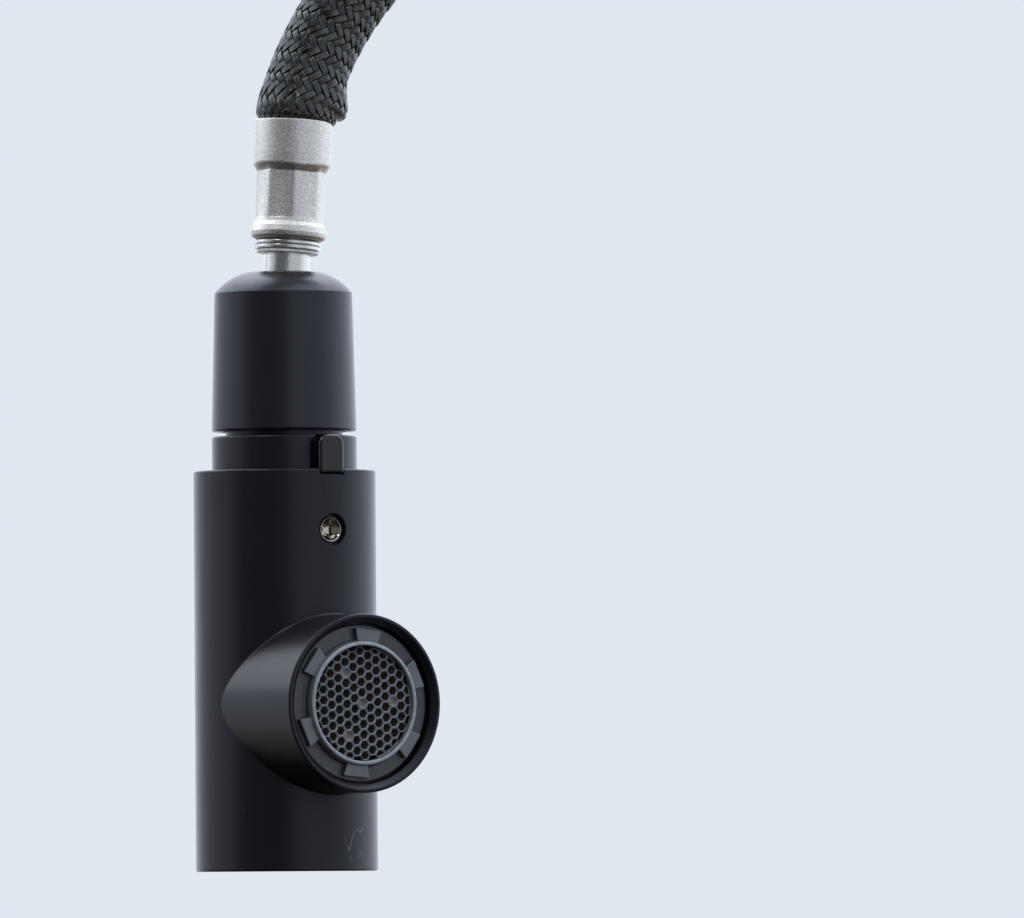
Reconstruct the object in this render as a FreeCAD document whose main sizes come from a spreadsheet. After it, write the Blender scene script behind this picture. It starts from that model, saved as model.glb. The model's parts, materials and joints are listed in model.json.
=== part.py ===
"""Pull-down spray head on its braided hose, drawn as separate pieces in millimetres.

The head's axis is +Z, the outlet points along -Y, and the origin is the point inside the top of
the hose coil that a hook carries. Heights along the head are counted from the body's base.
"""

import FreeCAD, Part
import math
import os

import Sketcher
from FreeCAD import Placement, Rotation, Vector

DRIVING_SIZES = {
    # spray body
    "body_radius": 14.0, "body_height": 61.5, "edge_bevel": 0.3,
    "outlet_radius": 13.65, "outlet_reach": 22.8, "outlet_height": 25.5, "joint_fillet": 0.4,
    "chamber_radius": 8.0, "chamber_floor": 10.0,
    "socket_radius": 10.0, "socket_floor": 49.3, "recess_radius": 11.3, "recess_depth": 1.0,
    "mouth_radius": 12.3, "mouth_depth": 2.5, "aerator_bore": 12.05, "aerator_floor": 11.0,
    "outlet_bore": 8.5,
    "screw_height": 52.2, "screw_radius": 1.95, "screw_tap": 2.0, "screw_recess": 2.4,
    "screw_tip": 9.3, "screw_face": 13.3, "screw_key": 2.0,
    # docking collar and its key
    "ring_radius": 11.15, "ring_top": 66.8, "shank_radius": 9.95, "shank_floor": 49.5,
    "neck_radius": 9.05, "neck_top": 77.0, "valve_bore": 6.05, "valve_shoulder": 70.0,
    "collar_bore": 5.0, "groove_root": 8.45, "groove_width": 1.8,
    "low_ring_height": 55.1, "high_ring_height": 58.3, "o_ring_radius": 9.2, "o_ring_section": 0.72,
    "screw_groove_root": 9.1, "screw_groove_width": 2.6,
    "key_width": 4.3, "key_floor": 60.75, "key_corner": 1.5, "key_root": 9.95, "key_play": 0.1,
    # swivel cap
    "cap_floor": 67.6, "cap_crease_radius": 10.6, "cap_crease": 88.9, "cap_top": 92.2,
    "cap_bore": 9.15, "cap_chamber": 8.65, "cap_roof": 90.2, "cap_mouth": 5.2,
    "cap_shoulder": 87.9, "cap_roof_radius": 6.2,
    # ball joint
    "ball_height": 83.2, "ball_radius": 6.4, "ball_flat": 4.5, "seat_radius": 6.45,
    "seat_outer": 8.6, "seat_split": 0.3, "fitting_lean": 3.9,
    "tube_radius": 3.475, "tube_end": 16.4, "stub_radius": 3.3, "stub_end": 31.0,
    "water_bore": 2.4,
    "clip_floor": 12.3, "clip_thickness": 1.4, "clip_radius": 5.08, "clip_bore": 3.5,
    "washer_floor": 11.5, "washer_thickness": 0.75, "washer_radius": 4.9,
    # crimped ferrule on the head end
    "ferrule_floor": 13.9, "bead_radius": 5.85, "waist_radius": 5.2, "skirt_radius": 6.0,
    "bead_top": 16.4, "waist_top": 24.3, "skirt_floor": 25.1, "ferrule_top": 32.3,
    "grip_radius": 4.65, "skirt_bore": 5.45,
    # check valve
    "valve_radius": 6.0, "valve_wall": 4.6, "valve_floor": 52.0, "valve_top": 66.0,
    "valve_seat": 3.2, "seat_floor": 63.5, "seat_roof": 64.8, "guide_floor": 54.0,
    "guide_roof": 55.5, "guide_bore": 1.17, "stem_radius": 1.1, "stem_floor": 52.6,
    "poppet_radius": 4.2, "poppet_floor": 61.6, "poppet_top": 63.0,
    "spring_radius": 2.4, "spring_wire": 0.2, "spring_pitch": 1.25,
    # aerator, counted from the head's axis towards the outlet
    "housing_floor": 12.1, "housing_face": 21.4, "housing_radius": 12.0, "housing_bore": 8.75,
    "lip_radius": 9.65, "lip_face": 22.3, "lug_inner": 9.6, "lug_outer": 11.3, "lug_width": 4.2,
    "lug_face": 21.95, "lug_turn": 24.0, "insert_radius": 8.65,
    "comb_floor": 19.6, "comb_face": 21.95, "cell_pitch": 1.6, "cell_across": 1.33,
    "screen_thickness": 0.25, "screen_low": 18.8, "screen_high": 19.2,
    "diffuser_floor": 17.2, "diffuser_face": 18.6, "regulator_floor": 15.1, "regulator_face": 17.0,
    "regulator_groove": 1.2, "regulator_ring": 4.5, "hole_radius": 0.5, "hole_depth": 2.0,
    "strainer_floor": 12.4, "strainer_rim": 14.3, "strainer_face": 15.0,
    "gasket_bore": 8.6, "gasket_floor": 11.02, "gasket_face": 12.05,
    # hose and its coil
    "hose_radius": 6.25, "hose_wall": 4.65, "liner_radius": 4.6, "liner_bore": 3.35,
    "coil_height": 220.0, "coil_radius": 62.5, "turn_gap": 13.0,
    "tie_thickness": 1.4, "tie_spread": 15.0,
    # fitting on the supply end
    "sleeve_radius": 7.1, "sleeve_bore": 6.3, "sleeve_length": 17.2, "sleeve_wall": 16.0,
    "nipple_radius": 4.55, "nipple_hole": 4.6, "nipple_start": 1.0, "nipple_stub": 3.3,
    "flange_radius": 6.2, "flange_floor": 24.0, "flange_top": 26.2,
    "seal_bore": 3.0, "seal_radius": 6.7, "seal_floor": 26.25, "seal_top": 28.25,
    "nut_flats": 18.0, "nut_floor": 20.0, "nut_shoulder": 23.6, "nut_top": 36.0,
    "nut_back_bore": 4.75, "nut_relief": 7.25, "nut_thread": 7.0, "thread_floor": 28.5,
}

SHEET_NAME = "Sizes"
LUG_COUNT = 6
CELL_TURN = 87.0
PLUGGED_CELL_RADIUS = 5.55
PLUGGED_CELL_ANGLES = (2.0, 124.0, 242.0)
TIE_ANGLES = {"coil_tie_right": 30.0, "coil_tie_left": 150.0}
FULL_TURN = 360.0

# The hose's route off the ferrule to the coil, in x, y and height above the body's base. Its
# first point is the ferrule's mouth and its last is where the outer turn begins.
LEAD_ROUTE = [
    (2.20, 0.0, 115.43), (2.49, 0.0, 119.62), (3.87, 0.0, 124.43), (6.41, 0.0, 129.31),
    (10.23, -0.2, 134.57), (16.65, -1.0, 141.57), (25.79, -3.5, 150.10), (37.00, -6.0, 160.05),
    (47.50, -6.5, 169.95),
]
# The hose's route from the coil's last turn down to its supply fitting.
TAIL_ROUTE = [
    (-66.65, 6.5, 237.86), (-70.28, 6.5, 224.34), (-75.98, 6.5, 211.55), (-80.95, 6.5, 199.54),
    (-85.40, 6.5, 187.32),
]
TAIL_LEAN = -160.0


class Length:
    """A length taken from the sheet: its value, and the expression that keeps it bound."""

    def __init__(self, value, text):
        self.value = value
        self.text = text

    def _joined(self, other, sign, swapped=False):
        other = other if isinstance(other, Length) else Length(float(other), repr(float(other)))
        left, right = (other, self) if swapped else (self, other)
        value = left.value + right.value if sign == "+" else left.value - right.value
        return Length(value, f"({left.text} {sign} {right.text})")

    def __add__(self, other):
        return self._joined(other, "+")

    def __radd__(self, other):
        return self._joined(other, "+", swapped=True)

    def __sub__(self, other):
        return self._joined(other, "-")

    def __rsub__(self, other):
        return self._joined(other, "-", swapped=True)

    def __mul__(self, factor):
        return Length(self.value * factor, f"({self.text} * {factor!r})")

    def __neg__(self):
        return Length(-self.value, f"(-{self.text})")


class Sizes:
    """The driving sizes, each an aliased cell, read back as attributes."""

    def __init__(self, doc):
        self._sheet = doc.addObject("Spreadsheet::Sheet", SHEET_NAME)
        for row, (alias, value) in enumerate(DRIVING_SIZES.items(), start=1):
            self._sheet.set(f"A{row}", alias.replace("_", " "))
            self._sheet.set(f"B{row}", str(value))
            self._sheet.setAlias(f"B{row}", alias)
        doc.recompute()

    def __getattr__(self, alias):
        return Length(float(self._sheet.get(alias)), f"{SHEET_NAME}.{alias}")


doc = FreeCAD.newDocument("SprayHead")
size = Sizes(doc)
ZERO = Length(0.0, "0")
BASE = -(size.coil_height + size.coil_radius - size.turn_gap * 0.5 - size.hose_radius)
pieces = []


def bound(owner, name, length):
    """Sets a property and binds it to the sheet."""
    setattr(owner, name, length.value)
    owner.setExpression(name, length.text)


def put(piece, x=ZERO, y=ZERO, z=ZERO, rotation=Rotation()):
    """Places a piece, its position bound to the sheet."""
    piece.Placement = Placement(Vector(x.value, y.value, z.value), rotation)
    for axis, length in (("x", x), ("y", y), ("z", z)):
        piece.setExpression(f".Placement.Base.{axis}", length.text)


def on_head(piece):
    """Stands a piece on the head's axis, its heights counted from the body's base."""
    put(piece, z=BASE)


def in_outlet(piece, height=size.outlet_height):
    """Lays a piece's +Z along the outlet's direction, from the head's axis."""
    put(piece, z=BASE + height, rotation=Rotation(Vector(1, 0, 0), 90))


def on_fitting(piece):
    """Leans a piece with the hose fitting, from the ball's centre."""
    lean = Rotation(Vector(0, 1, 0), size.fitting_lean.value)
    put(piece, z=BASE + size.ball_height, rotation=lean)


def on_coil(piece, angle=0.0):
    """Sets a piece about the coil's axis, turned to an angle from +X towards +Z."""
    turn = Rotation(Vector(1, 0, 0), 90) * Rotation(Vector(0, 0, 1), angle)
    put(piece, z=BASE + size.coil_height, rotation=turn)


def on_tail(piece):
    """Sets a piece on the hose's supply end, +Z pointing out of the hose."""
    x, y, height = TAIL_ROUTE[-2]
    place = Vector(x, y, height + BASE.value)
    piece.Placement = Placement(place, Rotation(Vector(0, 1, 0), TAIL_LEAN))


def new_body(label):
    """Starts a piece made of sketched features."""
    body = doc.addObject("PartDesign::Body", label)
    body.Label = label
    pieces.append(body)
    return body


def new_sketch(body, role, name, offset=Vector()):
    """A sketch on one of the body's own origin planes."""
    sketch = body.newObject("Sketcher::SketchObject", name)
    plane = next(f for f in body.Origin.OriginFeatures if f.Role == role)
    sketch.AttachmentSupport = [(plane, "")]
    sketch.MapMode = "FlatFace"
    sketch.AttachmentOffset = Placement(offset, Rotation())
    return sketch


def pin_point(sketch, geometry, end, x, y):
    """Fixes one end of a line at a bound place."""
    for axis, length, kind in ((-2, x, "DistanceX"), (-1, y, "DistanceY")):
        if length.text == "0":
            sketch.addConstraint(Sketcher.Constraint("PointOnObject", geometry, end, axis))
            continue
        index = sketch.addConstraint(Sketcher.Constraint(kind, geometry, end, length.value))
        sketch.setExpression(f"Constraints[{index}]", length.text)


def draw_loop(sketch, corners):
    """Draws a closed outline. A corner is (x, y), or (x, y, centre x, centre y, radius, turn)
    where the side that leaves it is an arc, turn being +1 anticlockwise and -1 clockwise."""
    ends = []
    for here, after in zip(corners, corners[1:] + corners[:1]):
        start = Vector(here[0].value, here[1].value, 0)
        stop = Vector(after[0].value, after[1].value, 0)
        if len(here) == 2:
            side = sketch.addGeometry(Part.LineSegment(start, stop), False)
            ends.append((side, 1, 2))
            continue
        centre = Vector(here[2].value, here[3].value, 0)
        circle = Part.Circle(centre, Vector(0, 0, 1), here[4].value)
        first, last = (start, stop) if here[5] > 0 else (stop, start)
        angles = [math.atan2(p.y - centre.y, p.x - centre.x) for p in (first, last)]
        side = sketch.addGeometry(Part.ArcOfCircle(circle, *angles), False)
        radius = sketch.addConstraint(Sketcher.Constraint("Radius", side, here[4].value))
        sketch.setExpression(f"Constraints[{radius}]", here[4].text)
        ends.append((side, 1, 2) if here[5] > 0 else (side, 2, 1))
    for index, corner in enumerate(corners):
        side, start, _ = ends[index]
        before, _, stop = ends[index - 1]
        sketch.addConstraint(Sketcher.Constraint("Coincident", before, stop, side, start))
        pin_point(sketch, side, start, corner[0], corner[1])


def draw_circle(sketch, radius, x=ZERO, y=ZERO):
    """Draws a circle of a bound radius at a bound centre."""
    circle = Part.Circle(Vector(x.value, y.value, 0), Vector(0, 0, 1), radius.value)
    index = sketch.addGeometry(circle, False)
    constraint = sketch.addConstraint(Sketcher.Constraint("Radius", index, radius.value))
    sketch.setExpression(f"Constraints[{constraint}]", radius.text)
    pin_point(sketch, index, 3, x, y)


def revolved(body, corners, kind="Revolution", role="XZ_Plane", offset=Vector(), axis="V_Axis",
             angle=FULL_TURN):
    """Turns an outline about an axis of its sketch, adding or cutting."""
    sketch = new_sketch(body, role, f"{kind}Outline", offset)
    draw_loop(sketch, corners)
    feature = body.newObject(f"PartDesign::{kind}", kind)
    feature.Profile = sketch
    feature.ReferenceAxis = (sketch, [axis])
    feature.Angle = angle
    feature.Midplane = True
    return feature


def turned(label, corners):
    """A piece that is one turned outline of (radius, height) corners."""
    body = new_body(label)
    revolved(body, corners)
    return body


def padded(body, sketch, length, kind="Pad"):
    """Gives a sketch a bound depth, adding or cutting."""
    feature = body.newObject(f"PartDesign::{kind}", kind)
    feature.Profile = sketch
    bound(feature, "Length", length)
    return feature


def ring_pattern(body, features, count):
    """Repeats features round the body's own Z axis."""
    pattern = body.newObject("PartDesign::PolarPattern", "Ring")
    pattern.Originals = features
    pattern.Axis = (next(f for f in body.Origin.OriginFeatures if f.Role == "Z_Axis"), [""])
    pattern.Angle = FULL_TURN
    pattern.Occurrences = count
    body.Tip = pattern
    return pattern


def rectangle(left, bottom, right, top):
    """The corners of a rectangle."""
    return [(left, bottom), (right, bottom), (right, top), (left, top)]


def rounded_rectangle(left, bottom, right, top, corner):
    """The corners of a rectangle whose corners are arcs, drawn anticlockwise."""
    return [
        (left + corner, bottom), (right - corner, bottom, right - corner, bottom + corner, corner, 1),
        (right, bottom + corner), (right, top - corner, right - corner, top - corner, corner, 1),
        (right - corner, top), (left + corner, top, left + corner, top - corner, corner, 1),
        (left, top - corner), (left, bottom + corner, left + corner, bottom + corner, corner, 1),
    ]


def cut_checked(body, make):
    """Adds a cutting feature and makes sure that it removed material."""
    doc.recompute()
    before = body.Shape.Volume
    feature = make()
    doc.recompute()
    if body.Shape.Volume >= before - 1e-6:
        raise RuntimeError(f"{body.Label}: {feature.Label} cuts nothing")
    return feature


def shaped(label, shape):
    """A piece whose shape is worked out directly."""
    piece = doc.addObject("Part::Feature", label)
    piece.Label = label
    piece.Shape = shape
    pieces.append(piece)
    return piece


def make_spray_body():
    """The cylindrical body with its outlet branch, water chamber and socket for the collar."""
    s = size
    body = new_body("spray_body")
    top = s.body_height
    revolved(body, [
        (ZERO, ZERO), (s.body_radius - s.edge_bevel, ZERO), (s.body_radius, s.edge_bevel),
        (s.body_radius, top - s.edge_bevel), (s.body_radius - s.edge_bevel, top), (ZERO, top),
    ])
    lift = Vector(0, s.outlet_height.value, 0)
    face = -s.outlet_reach
    revolved(body, [
        (ZERO, ZERO), (ZERO, s.outlet_radius), (face + s.edge_bevel, s.outlet_radius),
        (face, s.outlet_radius - s.edge_bevel), (face, ZERO),
    ], role="YZ_Plane", offset=lift, axis="H_Axis")
    cut_checked(body, lambda: revolved(body, [
        (ZERO, s.chamber_floor), (s.chamber_radius, s.chamber_floor),
        (s.chamber_radius, s.socket_floor), (s.socket_radius, s.socket_floor),
        (s.socket_radius, top - s.recess_depth), (s.recess_radius, top - s.recess_depth),
        (s.recess_radius, top + 1), (ZERO, top + 1),
    ], kind="Groove"))
    cut_checked(body, lambda: revolved(body, [
        (face - 1, ZERO), (face - 1, s.mouth_radius), (face + s.mouth_depth, s.mouth_radius),
        (face + s.mouth_depth, s.aerator_bore), (-s.aerator_floor, s.aerator_bore),
        (-s.aerator_floor, s.outlet_bore), (-s.chamber_radius * 0.5, s.outlet_bore),
        (-s.chamber_radius * 0.5, ZERO),
    ], kind="Groove", role="YZ_Plane", offset=lift, axis="H_Axis"))
    for radius, depth in ((s.screw_recess, s.body_radius - s.screw_face + 0.4),
                          (s.screw_tap, s.body_radius - s.socket_radius + 0.5)):
        hole = new_sketch(body, "XZ_Plane", "ScrewHole", Vector(0, 0, s.body_radius.value))
        draw_circle(hole, radius, y=s.screw_height)
        cut_checked(body, lambda: padded(body, hole, depth, "Pocket"))
    notch = new_sketch(body, "XZ_Plane", "KeyNotch", Vector(0, 0, s.body_radius.value))
    half = s.key_width * 0.5 + s.key_play
    draw_loop(notch, rectangle(-half, s.key_floor - s.key_play, half, top + 1))
    cut_checked(body, lambda: padded(body, notch, s.body_radius - s.recess_radius + 0.2, "Pocket"))
    soften_outlet_joint(body)
    on_head(body)


def soften_outlet_joint(body):
    """Rounds the line where the outlet branch leaves the body's wall."""
    names = []
    for index, edge in enumerate(body.Shape.Edges, start=1):
        first, last = edge.ParameterRange
        spots = [edge.valueAt(first + part * (last - first)) for part in (0.1, 0.5, 0.9)]
        on_wall = all(abs(math.hypot(p.x, p.y) - size.body_radius.value) < 1e-3 for p in spots)
        height = size.outlet_height.value
        on_branch = all(abs(math.hypot(p.x, p.z - height) - size.outlet_radius.value) < 1e-3
                        for p in spots)
        if on_wall and on_branch:
            names.append(f"Edge{index}")
    fillet = body.newObject("PartDesign::Fillet", "JointFillet")
    fillet.Base = (body.Tip if body.Tip != fillet else fillet.BaseFeature, names)
    bound(fillet, "Radius", size.joint_fillet)


def make_docking_collar():
    """The threaded collar that the cap screws to, with its grooves and the key's slot."""
    s = size
    seat = s.body_height - s.recess_depth
    half = s.groove_width * 0.5
    low, high = s.low_ring_height, s.high_ring_height
    nip = s.screw_groove_width * 0.5
    body = turned("docking_collar", [
        (s.valve_bore, s.shank_floor), (s.shank_radius, s.shank_floor),
        (s.shank_radius, s.screw_height - nip), (s.screw_groove_root, s.screw_height - nip),
        (s.screw_groove_root, s.screw_height + nip), (s.shank_radius, s.screw_height + nip),
        (s.shank_radius, low - half), (s.groove_root, low - half), (s.groove_root, low + half),
        (s.shank_radius, low + half), (s.shank_radius, high - half), (s.groove_root, high - half),
        (s.groove_root, high + half), (s.shank_radius, high + half), (s.shank_radius, seat),
        (s.ring_radius, seat), (s.ring_radius, s.ring_top), (s.neck_radius, s.ring_top),
        (s.neck_radius, s.neck_top), (s.collar_bore, s.neck_top),
        (s.collar_bore, s.valve_shoulder), (s.valve_bore, s.valve_shoulder),
    ])
    slot = new_sketch(body, "XZ_Plane", "KeySlot", Vector(0, 0, s.ring_radius.value + 1))
    width = s.key_width * 0.5 + 0.05
    draw_loop(slot, rectangle(-width, s.key_floor - 0.05, width, s.ring_top + 1))
    cut_checked(body, lambda: padded(body, slot, s.ring_radius - s.key_root + 1.05, "Pocket"))
    on_head(body)


def make_docking_key():
    """The lug that lines the head up with its dock."""
    s = size
    body = new_body("docking_key")
    sketch = new_sketch(body, "XZ_Plane", "KeyFront", Vector(0, 0, s.key_root.value))
    half, corner, top = s.key_width * 0.5, s.key_corner, s.ring_top
    draw_loop(sketch, [
        (-half, s.key_floor), (half, s.key_floor),
        (half, top - corner, half - corner, top - corner, corner, 1), (half - corner, top),
        (corner - half, top, corner - half, top - corner, corner, 1), (-half, top - corner),
    ])
    padded(body, sketch, s.body_radius - s.key_root)
    on_head(body)


def make_set_screw():
    """The hexagon-socket grub screw that locks the collar."""
    s = size
    body = new_body("collar_set_screw")
    point = s.screw_radius - 0.75
    revolved(body, [
        (ZERO, s.screw_tip), (point, s.screw_tip), (point, s.shank_radius + 0.05),
        (s.screw_radius, s.shank_radius + 0.6),
        (s.screw_radius, s.screw_face - 0.2), (s.screw_radius - 0.2, s.screw_face),
        (ZERO, s.screw_face),
    ])
    socket = new_sketch(body, "XY_Plane", "Socket", Vector(0, 0, s.screw_face.value))
    draw_loop(socket, hexagon(s.screw_key))
    cut_checked(body, lambda: padded(body, socket, s.screw_radius * 0.95, "Pocket"))
    in_outlet(body, s.screw_height)


def hexagon(across):
    """The corners of a hexagon from its width across flats."""
    corner = across * (1 / math.sqrt(3))
    return [(corner * math.cos(a), corner * math.sin(a) if k % 3 else ZERO)
            for k, a in enumerate(math.radians(60 * k) for k in range(6))]


def make_collar_o_rings():
    """The two rings that seal the collar in the body."""
    s = size
    rings = [Part.makeTorus(s.o_ring_radius.value, s.o_ring_section.value, Vector(0, 0, z.value))
             for z in (s.low_ring_height, s.high_ring_height)]
    on_head(shaped("collar_o_rings", Part.makeCompound(rings)))


def make_swivel_cap():
    """The tapered cap that holds the ball joint on the collar."""
    s = size
    rim = s.ring_radius
    on_head(turned("swivel_cap", [
        (s.cap_bore, s.cap_floor + 0.5), (s.cap_bore + 0.6, s.cap_floor), (rim - 0.4, s.cap_floor),
        (rim, s.cap_floor + 0.4), (s.cap_crease_radius, s.cap_crease),
        (s.cap_crease_radius - 1.4, s.cap_crease + 0.8),
        (s.cap_crease_radius - 2.5, s.cap_crease + 1.7),
        (s.cap_crease_radius - 4.1, s.cap_crease + 2.8), (s.cap_mouth, s.cap_top),
        (s.cap_mouth, s.cap_roof), (s.cap_roof_radius, s.cap_roof),
        (s.cap_chamber, s.cap_shoulder), (s.cap_chamber, s.neck_top + 0.05),
        (s.cap_bore, s.neck_top + 0.05),
    ]))


def sphere_reach(radius, other):
    """The second leg of a right triangle, a length worked out from two bound ones."""
    reach = math.sqrt(radius.value ** 2 - other.value ** 2)
    return Length(reach, f"sqrt({radius.text}^2 - {other.text}^2)")


def make_ball_joint():
    """The ball fitting, and the two rings that it turns between."""
    s = size
    flat = sphere_reach(s.ball_radius, s.ball_flat)
    crown = sphere_reach(s.ball_radius, s.tube_radius)
    on_fitting(turned("ball_fitting", [
        (s.water_bore, -s.ball_flat), (flat, -s.ball_flat, ZERO, ZERO, s.ball_radius, 1),
        (s.tube_radius, crown), (s.tube_radius, s.tube_end), (s.stub_radius, s.tube_end),
        (s.stub_radius, s.stub_end), (s.water_bore, s.stub_end),
    ]))
    upper = sphere_reach(s.seat_radius, s.seat_split)
    mouth = sphere_reach(s.seat_radius, s.cap_mouth)
    roof = s.cap_roof - s.ball_height - 0.05
    shoulder = s.cap_shoulder - s.ball_height - 0.05
    on_head_at_ball(turned("ball_bearing_ring", [
        (upper, s.seat_split), (s.seat_outer, s.seat_split), (s.seat_outer, shoulder),
        (s.cap_roof_radius - 0.05, roof), (s.cap_mouth, roof),
        (s.cap_mouth, mouth, ZERO, ZERO, s.seat_radius, -1),
    ]))
    floor = s.neck_top - s.ball_height + 0.05
    hole = Length(4.0, "4")
    drop = sphere_reach(s.seat_radius, hole)
    on_head_at_ball(turned("ball_cup_seal", [
        (hole, floor), (s.seat_outer, floor), (s.seat_outer, -s.seat_split),
        (upper, -s.seat_split, ZERO, ZERO, s.seat_radius, -1), (hole, -drop),
    ]))


def on_head_at_ball(piece):
    """Stands a piece on the head's axis, from the ball's centre."""
    put(piece, z=BASE + size.ball_height)


def make_fitting_rings():
    """The split clip and the washer under it on the ball fitting's tube."""
    s = size
    clip = new_body("retaining_clip")
    revolved(clip, rectangle(s.clip_bore, s.clip_floor, s.clip_radius,
                             s.clip_floor + s.clip_thickness), angle=FULL_TURN - 14)
    on_fitting(clip)
    clip.Placement.Rotation = clip.Placement.Rotation * Rotation(Vector(0, 0, 1), 150)
    on_fitting(turned("neck_washer", rectangle(
        s.clip_bore, s.washer_floor, s.washer_radius, s.washer_floor + s.washer_thickness)))


def make_crimp_ferrule():
    """The rolled and crimped sleeve that grips the hose on the ball fitting."""
    s = size
    floor, top = s.ferrule_floor, s.ferrule_top
    middle = (floor + s.bead_top) * 0.5
    on_fitting(turned("crimp_ferrule", [
        (s.clip_bore, floor), (s.waist_radius, floor), (s.bead_radius, middle - 0.55),
        (s.bead_radius, middle + 0.35), (s.waist_radius + 0.1, s.bead_top),
        (s.waist_radius, s.bead_top + 0.4), (s.waist_radius, s.waist_top),
        (s.skirt_radius, s.skirt_floor), (s.skirt_radius, top), (s.skirt_bore, top),
        (s.skirt_bore, s.skirt_floor), (s.grip_radius, s.waist_top - 0.3),
        (s.grip_radius, s.bead_top + 0.3), (s.clip_bore, s.bead_top + 0.3),
    ]))


def make_check_valve():
    """The cartridge in the collar: housing, poppet with its seal, and spring."""
    s = size
    housing = turned("check_valve_housing", [
        (s.guide_bore, s.guide_floor), (s.valve_wall, s.guide_floor),
        (s.valve_wall, s.valve_floor), (s.valve_radius, s.valve_floor),
        (s.valve_radius, s.valve_top), (s.valve_seat + 0.8, s.valve_top),
        (s.valve_seat, s.seat_roof), (s.valve_seat, s.seat_floor), (s.valve_wall, s.seat_floor),
        (s.valve_wall, s.guide_roof), (s.guide_bore, s.guide_roof),
    ])
    port = new_sketch(housing, "XY_Plane", "Port", Vector(0, 0, s.guide_roof.value))
    draw_circle(port, s.stem_radius * 0.9, x=s.spring_radius + 0.7)
    cut = cut_checked(housing, lambda: padded(
        housing, port, s.guide_roof - s.guide_floor + 0.2, "Pocket"))
    ring_pattern(housing, [cut], 4)
    on_head(housing)
    lip = s.poppet_radius - 0.9
    on_head(turned("check_valve_poppet", [
        (ZERO, s.stem_floor), (s.stem_radius, s.stem_floor), (s.stem_radius, s.poppet_floor),
        (s.poppet_radius, s.poppet_floor), (s.poppet_radius, s.poppet_top - 0.8),
        (lip, s.poppet_top - 0.8), (lip, s.poppet_top - 0.1), (ZERO, s.poppet_top + 0.4),
    ]))
    on_head(turned("check_valve_seal", rectangle(
        lip + 0.03, s.poppet_top - 0.78, s.poppet_radius, s.seat_floor - 0.06)))
    rise = (s.poppet_floor - s.guide_roof - s.spring_wire * 2).value - 0.1
    helix = Part.makeHelix(s.spring_pitch.value, rise, s.spring_radius.value)
    section = Part.Wire(Part.Circle(
        Vector(s.spring_radius.value, 0, 0), Vector(0, 1, 0), s.spring_wire.value).toShape())
    spring = shaped("check_valve_spring", helix.makePipeShell([section], True, True))
    put(spring, z=BASE + s.guide_roof + s.spring_wire + 0.05)


def make_aerator():
    """The screw-in aerator and what it holds, from its face back to its strainer."""
    s = size
    housing = turned("aerator_housing", [
        (s.housing_bore, s.housing_floor), (s.housing_radius, s.housing_floor),
        (s.housing_radius, s.housing_face), (s.lip_radius, s.housing_face),
        (s.lip_radius, s.lip_face - 0.2), (s.lip_radius - 0.2, s.lip_face),
        (s.housing_bore + 0.1, s.lip_face), (s.housing_bore, s.lip_face - 0.2),
    ])
    lug = new_sketch(housing, "XY_Plane", "Lug", Vector(0, 0, s.housing_face.value - 0.2))
    half = s.lug_width * 0.5
    draw_loop(lug, rectangle(s.lug_inner - 0.3, -half, s.lug_outer, half))
    ring_pattern(housing, [padded(housing, lug, s.lug_face - s.housing_face + 0.2)], LUG_COUNT)
    in_outlet(housing)
    housing.Placement.Rotation = housing.Placement.Rotation * Rotation(
        Vector(0, 0, 1), s.lug_turn.value)
    comb = shaped("aerator_honeycomb", honeycomb())
    in_outlet(comb)
    screens = [Part.makeCylinder(s.insert_radius.value, s.screen_thickness.value,
                                 Vector(0, 0, floor.value))
               for floor in (s.screen_low, s.screen_high)]
    in_outlet(shaped("aerator_screens", Part.makeCompound(screens)))
    plate = rectangle(ZERO, s.diffuser_floor, s.insert_radius, s.diffuser_face)
    drilled_disc("aerator_diffuser", plate, s.diffuser_face, ((6.6, 16), (3.4, 8)))
    floor, bed = s.regulator_floor, s.regulator_floor + s.regulator_groove
    inner, outer = s.regulator_ring - 0.9, s.regulator_ring + 0.9
    drilled_disc("flow_regulator", [
        (ZERO, floor), (inner, floor), (inner, bed), (outer, bed), (outer, floor),
        (s.insert_radius, floor), (s.insert_radius, s.regulator_face), (ZERO, s.regulator_face),
    ], s.regulator_face, ((s.regulator_ring.value, 6),))
    in_outlet(turned("flow_regulator_ring", rectangle(
        inner + 0.3, floor + 0.05, outer - 0.3, bed - 0.1)))
    strainer = turned("inlet_strainer", [
        (ZERO, s.strainer_floor), (s.collar_bore - 0.4, s.strainer_floor),
        (s.collar_bore, s.strainer_rim), (s.insert_radius, s.strainer_rim - 0.8),
        (s.insert_radius, s.strainer_face), (s.insert_radius - 1.0, s.strainer_face),
        (s.insert_radius - 1.0, s.strainer_rim), (s.collar_bore - 0.5, s.strainer_face),
        (s.collar_bore - 1.0, s.strainer_floor + 0.6), (ZERO, s.strainer_floor + 0.6),
    ])
    in_outlet(strainer)
    in_outlet(turned("aerator_gasket", rectangle(
        s.gasket_bore, s.gasket_floor, s.housing_radius, s.gasket_face)))


def drilled_disc(label, outline, face, circles):
    """A turned disc with rings of water holes, each ring given by its radius and count."""
    disc = new_body(label)
    revolved(disc, outline)
    for radius, count in circles:
        hole = new_sketch(disc, "XY_Plane", "Hole", Vector(0, 0, face.value))
        draw_circle(hole, size.hole_radius, x=Length(radius, repr(radius)))
        cut = cut_checked(disc, lambda: padded(disc, hole, size.hole_depth, "Pocket"))
        ring_pattern(disc, [cut], count)
    in_outlet(disc)


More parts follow.
